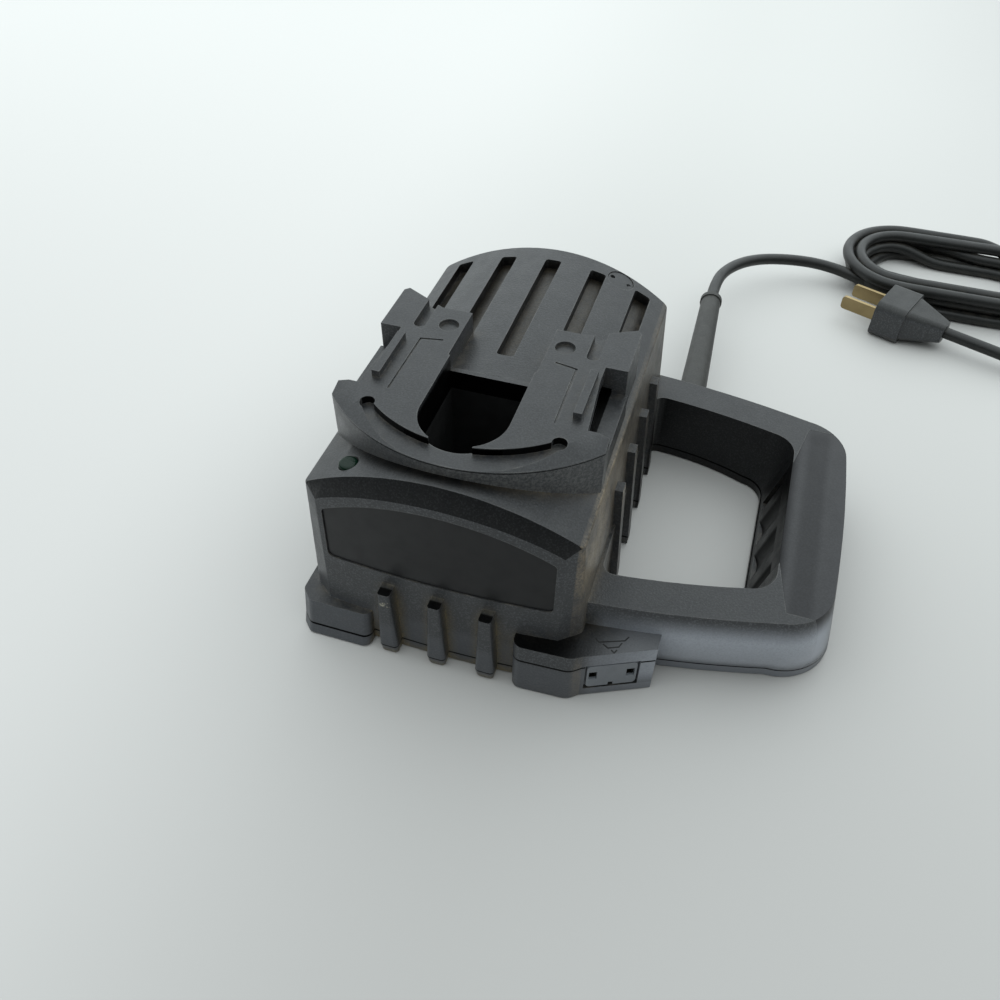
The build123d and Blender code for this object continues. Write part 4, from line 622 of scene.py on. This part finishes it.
WOBBLE, WOBBLE_TURN = 0.5, 5.1


def coil_point(s, radius):
    """Point at share s of one turn, anticlockwise from the front run's left end."""
    run = 2 * COIL_HALF_RUN
    bend = math.pi * COIL_R
    d = s * 2 * (run + bend)
    if d < run:
        return COIL_X - COIL_HALF_RUN + d, COIL_Y - radius
    d -= run
    if d < bend:
        a = -math.pi / 2 + d / COIL_R
        return COIL_X + COIL_HALF_RUN + radius * math.cos(a), COIL_Y + radius * math.sin(a)
    d -= bend
    if d < run:
        return COIL_X + COIL_HALF_RUN - d, COIL_Y + radius
    d -= run
    a = math.pi / 2 + d / COIL_R
    return COIL_X - COIL_HALF_RUN + radius * math.cos(a), COIL_Y + radius * math.sin(a)


points = list(CORD_ROUTE)
for turn_index, (column, row) in enumerate(SLOTS):
    next_column, next_row = SLOTS[min(turn_index + 1, len(SLOTS) - 1)]
    shift_at = FIRST_SHIFT - SHIFT_STEP * turn_index
    start = 1 if turn_index == 0 else 0
    for step in range(start, STEPS):
        s = step / STEPS
        moved = min(1.0, max(0.0, (s - shift_at) / SHIFT_RUN))
        moved = moved * moved * (3 - 2 * moved)
        across = column + (next_column - column) * moved
        up = row + (next_row - row) * moved
        wobble = WOBBLE * math.sin(WOBBLE_TURN * turn_index + 2 * math.pi * s)
        x, y = coil_point(s, (COIL_R + PITCH * across) * COIL_EASE + wobble)
        points.append((x, y, CORD_D / 2 + FLOOR_GAP + ROW * up))
points += TAIL_ROUTE

curve = bpy.data.curves.new("mains_cord", "CURVE")
curve.dimensions = "3D"
spline = curve.splines.new("NURBS")
spline.points.add(len(points) - 1)
for control, p in zip(spline.points, points):
    control.co = (*at(*p), 1.0)
spline.order_u = 3
spline.use_endpoint_u = True
spline.resolution_u = 6
curve.bevel_depth = CORD_D / 2 * MM
curve.bevel_resolution = 5
curve.use_fill_caps = True
curve.materials.append(CORD_GREY)
mains_cord = link("mains_cord", curve)
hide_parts("power_cord", "cord_coil", "plug_cord")
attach(mains_cord, HOUSING)

# ---------------------------------------------------------------- floor and light
FLOOR_HALF = 3.0         # metres
# the floor's tone varies by place as painted light and shade: darker near the front and at the back right,
# lighter far back and to the left
FLOOR_NEAR = (0.352, 0.342, 0.332)
FLOOR_FAR = (0.582, 0.577, 0.558)
FLOOR_BACK_RIGHT = (0.441, 0.43, 0.421)
FLOOR_LEFT = (0.75, 0.735, 0.717)
LIGHT_FROM = Vector((-0.14, 0.42, 0.90))
LIGHT_COLOUR = (0.925, 1.0, 1.02, 1.0)
DARKEST, BRIGHTEST = 0.16, 2.05
BRIGHT_FROM = 0.86       # cosine of the angle round LIGHT_FROM within which the world is brightest

floor_mesh = bpy.data.meshes.new("floor")
corners = [(-FLOOR_HALF, -FLOOR_HALF, 0), (FLOOR_HALF, -FLOOR_HALF, 0),
           (FLOOR_HALF, FLOOR_HALF, 0), (-FLOOR_HALF, FLOOR_HALF, 0)]
floor_mesh.from_pydata(corners, [], [(0, 1, 2, 3)])
floor = link("floor", floor_mesh)
floor_paint, n, shader = material("floor_paint")
x, y = n.axes()[:2]
# painted light and shade on the floor, by place
tone = n.mix(n.span(y, -260.0, 540.0), FLOOR_NEAR, FLOOR_FAR)
tone = n.mix(n.all(n.span(x, 60.0, 420.0), n.span(y, 60.0, 420.0)), tone, FLOOR_BACK_RIGHT)
tone = n.mix(n.span(x, 40.0, -160.0, 0.0, 0.35), tone, FLOOR_LEFT)
n.put(shader.inputs["Base Color"], tone)
shader.inputs["Roughness"].default_value = 0.6
shader.inputs["Specular IOR Level"].default_value = 0.2
floor_mesh.materials.append(floor_paint)

world = bpy.data.worlds.new("world")
bpy.context.scene.world = world
world.use_nodes = True
n = Nodes(world.node_tree)
background = n.add("ShaderNodeBackground")
n.put(n.add("ShaderNodeOutputWorld").inputs[0], background.outputs[0])
direction = n.add("ShaderNodeTexCoord").outputs["Generated"]
dot = n.add("ShaderNodeVectorMath", operation="DOT_PRODUCT")
n.put(dot.inputs[0], direction)
dot.inputs[1].default_value = LIGHT_FROM.normalized()
n.put(background.inputs["Strength"], n.span(dot.outputs["Value"], 0.0, BRIGHT_FROM, DARKEST, BRIGHTEST))
background.inputs["Color"].default_value = LIGHT_COLOUR
